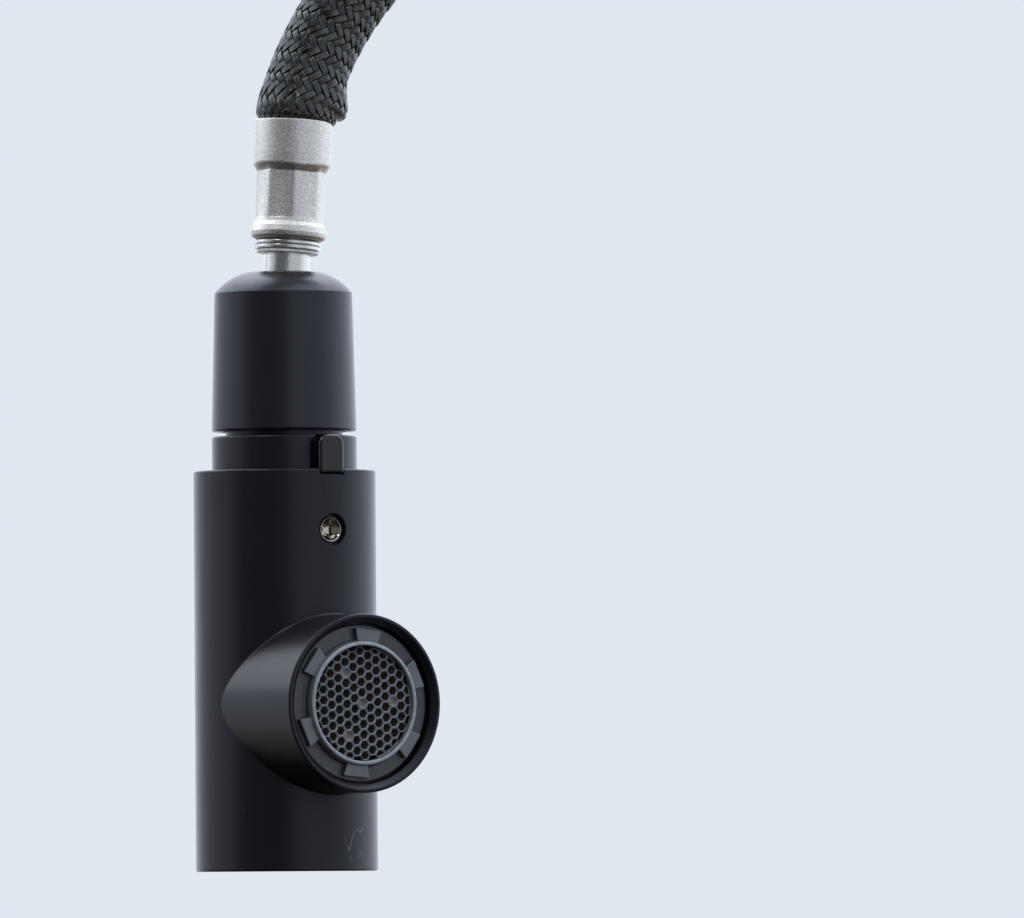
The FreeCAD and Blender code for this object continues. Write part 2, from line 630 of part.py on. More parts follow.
def honeycomb():
    """The face disc with its hexagonal cells, a few of them left closed."""
    s = size
    pitch, rim = s.cell_pitch.value, s.insert_radius.value
    along = Vector(math.cos(math.radians(CELL_TURN)), math.sin(math.radians(CELL_TURN)), 0)
    across = Rotation(Vector(0, 0, 1), 60).multVec(along)
    closed = [Vector()] + [
        Vector(math.cos(math.radians(a)), math.sin(math.radians(a)), 0) * PLUGGED_CELL_RADIUS
        for a in PLUGGED_CELL_ANGLES]
    corner = s.cell_across.value / math.sqrt(3)
    reach = range(-7, 8)
    centres = [(along * i + across * j) * pitch for i in reach for j in reach]
    wires = [Part.Wire(Part.Circle(Vector(), Vector(0, 0, 1), rim).toShape())]
    for centre in centres:
        if centre.Length > rim - corner - 0.2 or any((centre - c).Length < 0.6 for c in closed):
            continue
        ring = [centre + Rotation(Vector(0, 0, 1), 60 * k + 30).multVec(along) * corner
                for k in range(7)]
        wires.append(Part.makePolygon(ring))
    face = Part.Face(wires[:1]).cut([Part.Face(wire) for wire in wires[1:]]).Faces[0]
    face.translate(Vector(0, 0, s.comb_floor.value))
    return face.extrude(Vector(0, 0, s.comb_face.value - s.comb_floor.value))


def tangent_path(label, points):
    """Straight runs joined by tangent arcs, each as large as its two runs allow."""
    edges, radii, last = [], [], points[0]
    for before, corner, after in zip(points, points[1:], points[2:]):
        into, out = (corner - before), (after - corner)
        reach = 0.45 * min(into.Length, out.Length)
        into.normalize()
        out.normalize()
        half = into.getAngle(out) / 2
        radius = reach / math.tan(half)
        start, stop = corner - into * reach, corner + out * reach
        inward = out - into
        inward.normalize()
        middle = corner + inward * (radius / math.cos(half) - radius)
        edges += [Part.LineSegment(last, start).toShape(), Part.Arc(start, middle, stop).toShape()]
        radii.append(radius)
        last = stop
    edges.append(Part.LineSegment(last, points[-1]).toShape())
    print(label, "arc radii in mm:", ", ".join(f"{radius:.0f}" for radius in radii))
    return Part.Wire(edges)


def tube(label, path, outer, bore):
    """A tube along a path, its volume compared with its section times its length."""
    start = path.Edges[0]
    direction = start.tangentAt(start.FirstParameter)
    solids = []
    for radius in (outer, bore):
        ring = Part.Circle(start.valueAt(start.FirstParameter), direction, radius.value)
        solids.append(path.makePipeShell([Part.Wire(ring.toShape())], True, False))
    shape = solids[0].cut(solids[1])
    expected = math.pi * (outer.value ** 2 - bore.value ** 2) * path.Length
    if abs(shape.Volume / expected - 1) > 0.01:
        raise RuntimeError(f"{label}: volume {shape.Volume:.0f}, expected {expected:.0f}")
    piece = shaped(label, shape)
    put(piece, z=BASE)


def make_hose():
    """The hose: the stretch off the ferrule, the tied coil, and the tail to its fitting."""
    s = size
    lead = [Vector(*point) for point in LEAD_ROUTE]
    tail = [Vector(*point) for point in TAIL_ROUTE]
    tube("hose_sleeve", tangent_path("hose_sleeve", lead), s.hose_radius, s.hose_wall)
    axis = lead[1] - lead[0]
    axis.normalize()
    grip = (s.ferrule_top - s.bead_top).value - 0.4
    inner = [lead[0] - axis * grip] + lead[1:]
    tube("hose_inner_tube", tangent_path("hose_inner_tube", inner), s.liner_radius, s.liner_bore)
    tube("hose_tail", tangent_path("hose_tail", tail), s.hose_radius, s.liner_bore + 0.05)
    spread = s.turn_gap * 0.5 + s.hose_radius
    section = (s.coil_radius - spread, -spread, s.coil_radius + spread, spread)
    on_coil(turned("hose_coil", rounded_rectangle(*section, s.hose_radius)))
    for label, angle in TIE_ANGLES.items():
        tie = new_body(label)
        skin = s.tie_thickness
        outline = rounded_rectangle(section[0] - skin, section[1] - skin, section[2] + skin,
                                    section[3] + skin, s.hose_radius + skin)
        feature = revolved(tie, outline, angle=s.tie_spread.value)
        draw_loop(feature.Profile[0], rounded_rectangle(*section, s.hose_radius))
        on_coil(tie, angle)


def make_supply_fitting():
    """The crimped sleeve, nipple, washer and union nut on the hose's supply end."""
    s = size
    on_tail(turned("end_ferrule", [
        (s.sleeve_bore, ZERO), (s.sleeve_radius, ZERO), (s.sleeve_radius, s.sleeve_wall),
        (s.sleeve_radius - 0.6, s.sleeve_length), (s.nipple_hole, s.sleeve_length),
        (s.nipple_hole, s.sleeve_wall), (s.sleeve_bore, s.sleeve_wall),
    ]))
    on_tail(turned("end_nipple", [
        (s.water_bore, s.nipple_start), (s.nipple_stub, s.nipple_start),
        (s.nipple_stub, s.sleeve_wall), (s.nipple_radius, s.sleeve_wall),
        (s.nipple_radius, s.flange_floor), (s.flange_radius, s.flange_floor),
        (s.flange_radius, s.flange_top), (s.water_bore, s.flange_top),
    ]))
    on_tail(turned("end_gasket", rectangle(
        s.seal_bore, s.seal_floor, s.seal_radius, s.seal_top)))
    nut = new_body("union_nut")
    outline = new_sketch(nut, "XY_Plane", "Flats", Vector(0, 0, s.nut_floor.value))
    draw_loop(outline, hexagon(s.nut_flats))
    padded(nut, outline, s.nut_top - s.nut_floor)
    cut_checked(nut, lambda: revolved(nut, [
        (ZERO, s.nut_floor - 1), (s.nut_back_bore, s.nut_floor - 1),
        (s.nut_back_bore, s.nut_shoulder), (s.nut_relief, s.nut_shoulder),
        (s.nut_relief, s.thread_floor), (s.nut_thread, s.thread_floor),
        (s.nut_thread, s.nut_top + 1), (ZERO, s.nut_top + 1),
    ], kind="Groove"))
    on_tail(nut)


def write_pieces():
    """Checks every object, then writes each piece to its own file."""
    doc.recompute()
    for item in doc.Objects:
        if "Invalid" in item.State or "Error" in item.State:
            raise RuntimeError(f"{item.Label} failed: {item.State}")
    os.makedirs("parts", exist_ok=True)
    for piece in pieces:
        if piece.Shape.isNull() or not piece.Shape.isValid():
            raise RuntimeError(f"{piece.Label} has no valid shape")
        piece.Shape.exportStep(f"parts/{piece.Label}.step")
    print(len(pieces), "pieces written")


make_spray_body()
make_docking_collar()
make_docking_key()
make_set_screw()
make_collar_o_rings()
make_swivel_cap()
make_ball_joint()
make_fitting_rings()
make_crimp_ferrule()
make_check_valve()
make_aerator()
make_hose()
make_supply_fitting()
write_pieces()
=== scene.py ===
"""The looks of a pull-down spray head on its braided hose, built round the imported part.

Lengths are in millimetres on the head's own axes until a mesh is written: x and y from the head's
axis, and heights from the base of its body. The row frame is the same, in metres and BASE lower.
"""

import json
import logging
import math
from dataclasses import dataclass
from enum import Enum
from typing import Any, Callable, Mapping, Sequence

import bmesh
import bpy
import numpy as np
from mathutils import Matrix, Vector
from numpy.typing import NDArray


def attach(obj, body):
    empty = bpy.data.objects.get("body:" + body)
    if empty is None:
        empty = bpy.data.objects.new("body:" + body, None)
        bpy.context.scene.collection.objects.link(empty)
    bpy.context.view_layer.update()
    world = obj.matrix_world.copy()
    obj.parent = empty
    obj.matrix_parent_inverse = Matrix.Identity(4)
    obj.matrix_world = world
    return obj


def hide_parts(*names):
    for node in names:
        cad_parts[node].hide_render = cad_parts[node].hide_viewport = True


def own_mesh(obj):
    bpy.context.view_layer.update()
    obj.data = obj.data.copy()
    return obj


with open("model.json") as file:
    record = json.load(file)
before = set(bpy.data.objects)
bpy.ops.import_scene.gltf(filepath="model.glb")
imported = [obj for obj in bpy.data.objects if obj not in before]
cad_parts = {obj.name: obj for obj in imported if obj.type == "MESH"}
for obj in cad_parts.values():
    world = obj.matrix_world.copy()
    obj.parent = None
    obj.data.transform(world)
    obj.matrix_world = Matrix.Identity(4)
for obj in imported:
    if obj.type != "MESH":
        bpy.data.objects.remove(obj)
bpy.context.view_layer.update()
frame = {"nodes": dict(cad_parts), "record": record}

Array = NDArray[np.float64]
Colour = tuple[float, float, float]
Triple = tuple[float, float, float]

MM = 0.001
BASE = -269.75
WELD = 2e-7
HOLD = 0.12
SHARP = math.radians(34.0)
TURN = 2.0 * math.pi
WEAVE_MAP = "weave"
WALL_BEARING = math.radians(28.0)
JAW_POWER = 70.0

log = logging.getLogger("spray_head")


class Body(Enum):
    """The moving bodies that the built pieces ride on."""

    HOSE = "hose_side"
    HEAD = "spray_head"
    NUT = "connector_nut"


# ---------------------------------------------------------------- shader work


class Signal:
    """A shader socket that arithmetic works on."""

    def __init__(self, graph: "Graph", socket: bpy.types.NodeSocket) -> None:
        """Keeps the socket and the graph that it belongs to."""
        self.graph = graph
        self.socket = socket

    def maths(self, operation: str, other: "Signal | float", swapped: bool = False) -> "Signal":
        """Adds one Math node.

        Args:
            operation: the node's operation.
            other: the second value.
            swapped: True where the second value comes first.

        Returns:
            The node's result.
        """
        first, second = (other, self) if swapped else (self, other)
        return self.graph.node("ShaderNodeMath", {"operation": operation}, {0: first, 1: second})

    def __add__(self, other: "Signal | float") -> "Signal":
        """The sum."""
        return self.maths("ADD", other)

    def __radd__(self, other: float) -> "Signal":
        """The sum, with the number first."""
        return self.maths("ADD", other, True)

    def __sub__(self, other: "Signal | float") -> "Signal":
        """The difference."""
        return self.maths("SUBTRACT", other)

    def __rsub__(self, other: float) -> "Signal":
        """The difference, with the number first."""
        return self.maths("SUBTRACT", other, True)

    def __mul__(self, other: "Signal | float") -> "Signal":
        """The product."""
        return self.maths("MULTIPLY", other)

    def __rmul__(self, other: float) -> "Signal":
        """The product, with the number first."""
        return self.maths("MULTIPLY", other, True)

    def __pow__(self, other: "Signal | float") -> "Signal":
        """The power."""
        return self.maths("POWER", other)

    def __mod__(self, other: "Signal | float") -> "Signal":
        """The remainder, never negative."""
        return self.maths("FLOORED_MODULO", other)

    def below(self, limit: "Signal | float") -> "Signal":
        """1 where the value is under the limit, else 0."""
        return self.maths("LESS_THAN", limit)

    def single(self, operation: str) -> "Signal":
        """One of the operations on a value alone, such as FLOOR, COSINE or ABSOLUTE."""
        return self.graph.node("ShaderNodeMath", {"operation": operation}, {0: self})

    def between(self, low: float, high: float, start: float = 0.0, end: float = 1.0) -> "Signal":
        """The value carried from low..high to start..end in a smooth step, and held outside.

        Args:
            low: where the step starts.
            high: where the step ends.
            start: the result up to low.
            end: the result from high on.

        Returns:
            The carried value.
        """
        return self.graph.node(
            "ShaderNodeMapRange", {"interpolation_type": "SMOOTHSTEP"},
            {"Value": self, "From Min": low, "From Max": high, "To Min": start, "To Max": end})


class Graph:
    """The nodes of one material, or of the studio's air."""

    def __init__(self, owner: bpy.types.Material | bpy.types.World) -> None:
        """Starts with no nodes."""
        self.owner = owner
        owner.use_nodes = True
        self.tree = owner.node_tree
        self.tree.nodes.clear()

    @classmethod
    def named(cls, name: str) -> "Graph":
        """The empty graph of a new material of that name."""
        return cls(bpy.data.materials.new(name))

    def node(self, kind: str, settings: Mapping[str, Any] | None = None,
             inputs: Mapping[int | str, Any] | None = None, output: int | str = 0) -> Signal:
        """Adds any node.

        Args:
            kind: the node's type.
            settings: its own settings, set first; "stops" are a ramp's positions and colours.
            inputs: its sockets' values or links, by name or number.
            output: the socket that is handed on.

        Returns:
            That output.
        """
        made = self.tree.nodes.new(kind)
        for name, value in (settings or {}).items():
            if name == "stops":
                self._set_stops(made.color_ramp, value)
            else:
                setattr(made, name, value)
        for key, value in (inputs or {}).items():
            if isinstance(value, Signal):
                self.tree.links.new(value.socket, made.inputs[key])
            elif isinstance(value, tuple) and len(value) == 3 and made.inputs[key].type == "RGBA":
                made.inputs[key].default_value = (*value, 1.0)
            else:
                made.inputs[key].default_value = value
        return Signal(self, made.outputs[output])

    @staticmethod
    def _set_stops(ramp: bpy.types.ColorRamp, stops: Sequence[tuple[float, Colour]]) -> None:
        """Gives a ramp its stops.

        Args:
            ramp: the colour ramp.
            stops: each stop's position and colour, at least two.
        """
        while len(ramp.elements) < len(stops):
            ramp.elements.new(1.0)
        for element, (place, colour) in zip(ramp.elements, stops):
            element.position = place
            element.color = (*colour, 1.0)

    def place(self) -> Signal:
        """The point on the object, in metres in the row frame."""
        return self.node("ShaderNodeTexCoord", output="Object")

    def stretched(self, amounts: Triple) -> Signal:
        """The point on the object with each axis scaled.

        Args:
            amounts: the three factors.

        Returns:
            The scaled point.
        """
        return self.node("ShaderNodeVectorMath", {"operation": "MULTIPLY"},
                         {0: self.place(), 1: amounts})

    def axis(self, vector: Signal, name: str) -> Signal:
        """One of a vector's parts, by the name X, Y or Z."""
        return self.node("ShaderNodeSeparateXYZ", inputs={0: vector}, output=name)

    def cloud(self, size: float, detail: float = 2.0, point: Signal | None = None) -> Signal:
        """Soft noise from 0 to 1.

        Args:
            size: the size of its patches, in millimetres.
            detail: how many finer layers it has.
            point: where it is read, or None for the point on the object.

        Returns:
            The noise.
        """
        return self.node("ShaderNodeTexNoise", inputs={
            "Vector": point or self.place(), "Scale": 1.0 / (size * MM), "Detail": detail})

    def specks(self, spacing: float, radius: float, share: float) -> Signal:
        """Small round dots, such as dust.

        Args:
            spacing: the usual distance between places where a dot may be, in millimetres.
            radius: a dot's radius, in millimetres.
            share: the share of the places that have one.

        Returns:
            1 on a dot, else 0.
        """
        inputs = {"Vector": self.place(), "Scale": 1.0 / (spacing * MM)}
        reach = self.node("ShaderNodeTexVoronoi", inputs=inputs, output="Distance")
        chance = self.axis(self.node("ShaderNodeTexVoronoi", inputs=inputs, output="Color"), "X")
        return reach.below(chance * (radius / spacing / share)) * chance.below(share)

    def blend(self, factor: Signal, first: Signal | Colour, second: Signal | Colour) -> Signal:
        """Two colours mixed.

        Args:
            factor: 0 for the first and 1 for the second.
            first: a colour.
            second: a colour.

        Returns:
            The mixed colour.
        """
        return self.node("ShaderNodeMix", {"data_type": "RGBA"},
                         {0: factor, 6: first, 7: second}, output=2)

    def relief(self, height: Signal, depth: float, strength: float = 1.0) -> Signal:
        """A bump from a height.

        Args:
            height: the height, about 0 to 1.
            depth: how much a height of 1 stands out, in millimetres.
            strength: the share of the effect.

        Returns:
            The bent normal.
        """
        return self.node("ShaderNodeBump", inputs={
            "Height": height, "Distance": depth * MM, "Strength": strength})

    def close(self, inputs: Mapping[int | str, Any]) -> bpy.types.Material:
        """Ends the material in a Principled shader.

        Args:
            inputs: that shader's values and links.

        Returns:
            The material.
        """
        shader = self.node("ShaderNodeBsdfPrincipled", inputs=inputs)
        out = self.tree.nodes.new("ShaderNodeOutputMaterial")
        self.tree.links.new(shader.socket, out.inputs["Surface"])
        return self.owner


# ------------------------------------------------------------------- finishes


@dataclass(frozen=True)
class SatinPaint:
    """Satin black powder coat: a fine grain, cloudy gloss, dust and hairline marks."""

    name: str
    tone: Colour = (0.0062, 0.0062, 0.0078)
    roughness: float = 0.30
    gloss: float = 0.27
    grain: float = 0.0025
    dust: float = 0.5
    marked: bool = False

    def make(self) -> bpy.types.Material:
        """Builds the coat: grain in the bump, clouds in the gloss, pale dust in the colour."""
        g = Graph.named(self.name)
        clouds = g.cloud(9.0, 3.0)
        grain = g.cloud(0.22, 2.0)
        dust = g.specks(1.6, 0.065, self.dust)
        tone = g.blend(clouds, self.tone, tuple(c * 1.5 for c in self.tone))
        if self.marked:
            line = (g.cloud(3.4, 1.0, g.stretched((1.0, 1.0, 0.45))) - 0.5).single("ABSOLUTE")
            height = g.axis(g.place(), "Z")
            side = g.axis(g.place(), "X")
            low = (height.between((BASE + 7.5) * MM, (BASE + 6.0) * MM)
                   * height.between((BASE + 1.2) * MM, (BASE + 2.6) * MM))
            right = side.between(1.5 * MM, 3.0 * MM)
            dust = dust + line.below(0.009) * low * right * 1.3
        colour = g.blend(dust * 0.45, tone, (0.24, 0.24, 0.25))
        rough = clouds * 0.06 + (self.roughness - 0.03) + dust * 0.25
        return g.close({"Base Color": colour, "Roughness": rough,
                        "Specular IOR Level": self.gloss, "Specular Tint": (0.94, 0.95, 1.10, 1.0),
                        "Normal": g.relief(grain, self.grain)})


@dataclass(frozen=True)
class GlossMoulding:
    """Gloss black moulded plastic with faint swirls."""

    name: str
    tone: Colour = (0.0032, 0.0032, 0.0036)
    roughness: float = 0.12

    def make(self) -> bpy.types.Material:
        """Builds the moulding: a slow ripple in the bump and a little cloud in the gloss."""
        g = Graph.named(self.name)
        clouds = g.cloud(1.6, 3.0)
        colour = g.blend(g.specks(1.7, 0.05, 0.12) * 0.5, self.tone, (0.25, 0.25, 0.26))
        return g.close({"Base Color": colour, "Roughness": clouds * 0.12 + (self.roughness - 0.05),
                        "Specular IOR Level": 0.45, "Normal": g.relief(clouds, 0.02)})


@dataclass(frozen=True)
class Steel:
    """Stainless steel or nickel: mottled by pickling, with fine turning lines."""

    name: str
    tone: Colour = (0.60, 0.585, 0.555)
    roughness: float = 0.30
    mottle: float = 0.5
    lines: float = 0.25

    def make(self) -> bpy.types.Material:
        """Builds the metal: mottle in colour, gloss and bump, and lines across the height."""
        g = Graph.named(self.name)
        grains = g.cloud(0.26, 2.0)
        broad = g.cloud(2.2, 3.0)
        turned_lines = g.cloud(0.5, 2.0, g.stretched((0.06, 0.06, 3.0)))
        tone = g.blend(grains.between(0.36, 0.66), tuple(c * (1.0 - 0.30 * self.mottle)
                                                         for c in self.tone), self.tone)
        tone = g.blend(broad.between(0.40, 0.75) * 0.4, tone, tuple(c * 0.84 for c in self.tone))
        rough = grains * (0.14 * self.mottle) + broad * 0.12 + (self.roughness - 0.12)
        height = grains * self.mottle + turned_lines * self.lines
        return g.close({"Base Color": tone, "Metallic": 1.0, "Roughness": rough,
                        "Normal": g.relief(height, 0.05)})


@dataclass(frozen=True)
class Moulding:
    """Matt moulded plastic, rubber, nylon or fibre: a fine skin with clouds."""

    name: str
    tone: Colour
    roughness: float = 0.5
    skin: float = 0.008
    glow: float = 0.0
    sheen: float = 0.0

    def make(self) -> bpy.types.Material:
        """Builds the plastic: clouds in the colour and a fine skin in the bump."""
        g = Graph.named(self.name)
        clouds = g.cloud(2.2, 3.0)
        skin = g.cloud(0.12, 2.0)
        tone = g.blend(clouds.between(0.3, 0.7), tuple(c * 0.84 for c in self.tone),
                       tuple(min(1.0, c * 1.14) for c in self.tone))
        colour = g.blend(g.specks(1.1, 0.04, 0.10) * 0.35, tone, (0.42, 0.42, 0.42))
        return g.close({
            "Base Color": colour, "Roughness": clouds * 0.10 + skin * 0.06 + self.roughness - 0.08,
            "Subsurface Weight": self.glow, "Subsurface Radius": (1.0, 0.9, 0.7),
            "Subsurface Scale": 0.6 * MM, "Sheen Weight": self.sheen,
            "Normal": g.relief(skin, self.skin)})


@dataclass(frozen=True)
class Acetal:
    """Grey acetal of the aerator, with painted shade low down and painted highlights on its raised
    edges.
    """

    name: str
    tone: Colour = (0.125, 0.133, 0.148)
    # Painted shade: the darker tone of the flange and of the cells low down.
    painted_shade: Colour = (0.038, 0.041, 0.049)
    # Painted light: a brighter brown far down inside the cells, where they lie in shade.
    cell: Colour = (0.26, 0.20, 0.17)
    roughness: float = 0.40

    def make(self) -> bpy.types.Material:
        """Builds the acetal: tones of painted shade and painted highlight that change in steps of
        depth, with clouds and a fine skin.
        """
        g = Graph.named(self.name)
        place = g.place()
        depth = g.axis(place, "Y") * (-1.0 / MM)
        x, z = g.axis(place, "X") * (1.0 / MM), g.axis(place, "Z") * (1.0 / MM) - (BASE + 25.5)
        reach = (x * x + z * z) ** 0.5
        inside = reach.below(8.72)
        clouds, skin = g.cloud(1.4, 3.0), g.cloud(0.14, 2.0)
        # Painted shade: the housing is darker low down, on its flange.
        floor = g.blend(depth.between(21.45, 21.95), self.painted_shade, self.tone)
        # Painted light and painted shade in the cells: a brighter brown far down, darker higher up.
        cells_painted_light_and_shade = g.blend(depth.between(21.0, 21.6) * 0.75, self.cell, self.painted_shade)
        # Painted highlight: the crests of the cells are lighter.
        cells_with_painted_crests = g.blend(depth.between(21.80, 22.08), cells_painted_light_and_shade, tuple(c * 1.45 for c in self.tone))
        tone = g.blend(inside, floor, cells_with_painted_crests)
        # Painted highlight: the raised lip is much lighter.
        tone = g.blend(depth.between(22.35, 22.68) * 0.7, tone, tuple(c * 3.1 for c in self.tone))
        tone = g.blend(clouds.between(0.35, 0.75) * 0.35, tone, tuple(c * 0.6 for c in self.tone))
        colour = g.blend(g.specks(1.3, 0.045, 0.10) * 0.3, tone, (0.35, 0.36, 0.38))
        return g.close({"Base Color": colour, "Roughness": clouds * 0.12 + (self.roughness - 0.06),
                        "Normal": g.relief(skin + clouds, 0.008)})


@dataclass(frozen=True)
class WireMesh:
    """Woven wire cloth, drawn as crossing wires over dark gaps."""

    name: str
    tone: Colour = (0.30, 0.27, 0.23)
    pitch: float = 0.34

    def make(self) -> bpy.types.Material:
        """Builds the cloth: two cosine waves at right angles make the wires' crowns."""
        g = Graph.named(self.name)
        scale = TURN / (self.pitch * MM)
        place = g.place()
        waves = [(g.axis(place, axis) * scale).single("COSINE") * 0.5 + 0.5 for axis in "XZ"]
        crown = waves[0].maths("MAXIMUM", waves[1])
        wire = crown.between(0.45, 0.8)
        # Painted shade: the gaps between the wires are near black.
        tone = g.blend(wire, (0.010, 0.008, 0.006), self.tone)
        return g.close({"Base Color": tone, "Metallic": wire, "Roughness": 0.35,
                        "Normal": g.relief(crown, 0.06)})


@dataclass(frozen=True)
class Yarn:
    """Flat bands of glossy black monofilaments, for the strands that are modelled."""

    name: str
    tone: Colour = (0.0036, 0.0039, 0.0046)
    roughness: float = 0.11

    def make(self) -> bpy.types.Material:
        """Builds the bands: filament lines across each band, painted highlights in broken lines on the
        filaments, a greenish or brown cast by patch.
        """
        g = Graph.named(self.name)
        uv = g.node("ShaderNodeUVMap", {"uv_map": WEAVE_MAP})
        across, along = g.axis(uv, "X"), g.axis(uv, "Y")
        filaments = 0.5 - (across * (TURN * 5.0)).single("COSINE") * 0.5
        patch = g.cloud(1.5, 1.0)
        painted_glint_streak = g.cloud(0.9, 1.0, g.node("ShaderNodeCombineXYZ", inputs={
            0: across * 0.0045, 1: along * 0.0002, 2: patch * 0.001}))
        cast = g.blend(patch.between(0.35, 0.65), tuple(c * 0.7 for c in self.tone),
                       (self.tone[0] * 1.9, self.tone[1] * 2.0, self.tone[2] * 1.6))
        # Painted highlight: pale glints in broken lines along the filaments.
        colour = g.blend(filaments * painted_glint_streak.between(0.42, 0.66) * 0.7, cast, (0.13, 0.14, 0.125))
        return g.close({"Base Color": colour, "IOR": 1.58,
                        "Roughness": patch * 0.10 + self.roughness,
                        "Normal": g.relief(filaments, 0.026)})


@dataclass(frozen=True)
class WovenSkin:
    """The same braid as a pattern: bands that run two over, two under, at 45 degrees."""

    name: str
    tone: Colour = (0.010, 0.0105, 0.0115)
    roughness: float = 0.30

    def make(self) -> bpy.types.Material:
        """Builds the braid from the weave map, whose u and v count strands round and along.

        The sums u + v and u - v number the two families of bands. The band on top is told by the
        difference of the two numbers, modulo 4, and its height is a cosine along its float.
        """
        g = Graph.named(self.name)
        uv = g.node("ShaderNodeUVMap", {"uv_map": WEAVE_MAP})
        u, v = g.axis(uv, "X"), g.axis(uv, "Y")
        one, two = u + v, u - v
        i, j = one.single("FLOOR"), two.single("FLOOR")
        top = ((i - j) % 4.0).below(1.5)
        quarter = math.pi / 2.0
        rise = self._crown(g, one - i, ((two - i) * quarter).single("COSINE"))
        fall = self._crown(g, two - j, ((one - j - 3.0) * quarter).single("COSINE"))
        height = top * rise + (1.0 - top) * fall
        gap = height.between(0.16, 0.42)
        patch = g.cloud(1.5, 1.0)
        cast = g.blend(patch.between(0.35, 0.65), tuple(c * 0.75 for c in self.tone),
                       (self.tone[0] * 1.9, self.tone[1] * 1.95, self.tone[2] * 1.6))
        # Painted shade: near black where the bands dip between each other.
        colour = g.blend(gap, (0.0015, 0.0015, 0.0017), cast)
        return g.close({"Base Color": colour, "IOR": 1.55,
                        "Roughness": patch * 0.12 + self.roughness + (1.0 - gap) * 0.4,
                        "Normal": g.relief(height, 0.42, 0.9)})

    @staticmethod
    def _crown(g: Graph, across: Signal, along: Signal) -> Signal:
        """A band's height: high at the middle of its float, low at its two edges, and lined.

        Args:
            g: the material's graph.
            across: the place across the band, from 0 to 1.
            along: the cosine along the float.

        Returns:
            The height, about 0 to 1.
        """
        edge = (across * 2.0 - 1.0).single("ABSOLUTE").between(0.62, 1.0, 1.0, 0.0)
        lines = (across * (TURN * 5.0)).single("COSINE") * 0.03
        return (along * 0.45 + 0.5) * edge + lines


@dataclass(frozen=True)
class HookStrap:
    """Black hook-and-loop strap: a fuzzy pile with woven ribs."""

    name: str
    tone: Colour = (0.016, 0.016, 0.018)

    def make(self) -> bpy.types.Material:
        """Builds the strap: two scales of pile in the bump and lint in the colour."""
        g = Graph.named(self.name)
        pile, tufts = g.cloud(0.28, 3.0), g.cloud(0.9, 1.0)
        lint = g.specks(1.6, 0.09, 0.12)
        tone = g.blend(pile.between(0.3, 0.7), tuple(c * 0.5 for c in self.tone),
                       tuple(c * 2.0 for c in self.tone))
        colour = g.blend(lint * 0.4, tone, (0.20, 0.20, 0.21))
        return g.close({"Base Color": colour, "Roughness": 0.86, "Sheen Weight": 0.35,
                        "Sheen Roughness": 0.5, "Normal": g.relief(pile + tufts * 0.8, 0.22)})


@dataclass(frozen=True)
class Floor:
    """The pale painted floor of the studio."""

    name: str
    tone: Colour = (0.31, 0.325, 0.34)

    def make(self) -> bpy.types.Material:
        """Builds the floor: faint broad clouds in a matt pale tone."""
        g = Graph.named(self.name)
        clouds = g.cloud(400.0, 2.0)
        return g.close({"Base Color": g.blend(clouds, tuple(c * 0.97 for c in self.tone),
                                              self.tone), "Roughness": 0.75})


class Finishes:
    """Every material, built once and looked up by the record's slot."""

    def __init__(self) -> None:
        """Builds the materials."""
        kinds = {
            "body_black": SatinPaint("satin_black_body", marked=True),
            "cap_black": SatinPaint("satin_black_cap", (0.0085, 0.0085, 0.0102), gloss=0.38, dust=0.25),
            "key_black": GlossMoulding("gloss_black_key"),
            "stainless": Steel("stainless_mottled", (0.71, 0.685, 0.655), 0.44, 1.0),
            "stainless_bright": Steel("stainless_bright", (0.60, 0.59, 0.565), 0.24, 0.7, 0.4),
            "screw_steel": Steel("screw_steel", (0.50, 0.46, 0.38), 0.16, 0.3, 0.2),
            "grey_plastic": Acetal("grey_acetal"),
            "dark_plastic": Moulding("dark_plastic", (0.030, 0.032, 0.034), 0.5),
            "black_rubber": Moulding("black_rubber", (0.013, 0.013, 0.013), 0.6, 0.012),
            "natural_nylon": Moulding("natural_nylon", (0.74, 0.73, 0.68), 0.35, 0.004, 0.5),
            "mesh": WireMesh("woven_wire"),
            "braid": WovenSkin("braided_hose"),
            "yarn": Yarn("braid_strands"),
            "liner": Moulding("milky_tube", (0.66, 0.66, 0.63), 0.35, 0.004, 0.3),
            "strap": HookStrap("hook_strap"),
            "fibre": Moulding("red_fibre", (0.24, 0.050, 0.030), 0.7, 0.02),
            "nickel_brass": Steel("nickel_plated", (0.70, 0.675, 0.62), 0.14, 0.12, 0.2),
            "floor": Floor("pale_floor"),
        }
        self.made = {slot: kind.make() for slot, kind in kinds.items()}

    def __getitem__(self, slot: str) -> bpy.types.Material:
        """The material of a slot."""
        return self.made[slot]


# --------------------------------------------------------------- shape work


@dataclass(frozen=True)
class Place:
    """Where a piece's own axes lie on the head."""

    origin: Triple
    across: Triple
    depth: Triple
    axis: Triple

    def put(self, points: Array) -> Array:
        """Points on the piece's axes carried to the head's: origin plus each part along its axis."""
        return np.asarray(self.origin) + points @ np.array([self.across, self.depth, self.axis])


HEAD = Place((0.0, 0.0, 0.0), (1.0, 0.0, 0.0), (0.0, 1.0, 0.0), (0.0, 0.0, 1.0))


def outlet_at(height: float) -> Place:
    """The place whose axis runs from the head's axis towards the outlet, at a height."""
    return Place((0.0, 0.0, height), (1.0, 0.0, 0.0), (0.0, 0.0, 1.0), (0.0, -1.0, 0.0))


def leaning(origin: Triple, degrees: float) -> Place:
    """A place turned about the head's y axis.

    Args:
        origin: its origin.
        degrees: how far its axis leans from +Z towards +X.

    Returns:
        The place.
    """
    c, s = math.cos(math.radians(degrees)), math.sin(math.radians(degrees))
    return Place(origin, (c, 0.0, -s), (0.0, 1.0, 0.0), (s, 0.0, c))


@dataclass(frozen=True)
class Patch:
    """A stretch of surface: points, four-cornered faces, each corner's map place, a finish."""

    points: Array
    faces: NDArray[np.int64]
    uv: Array | None = None
    finish: int = 0


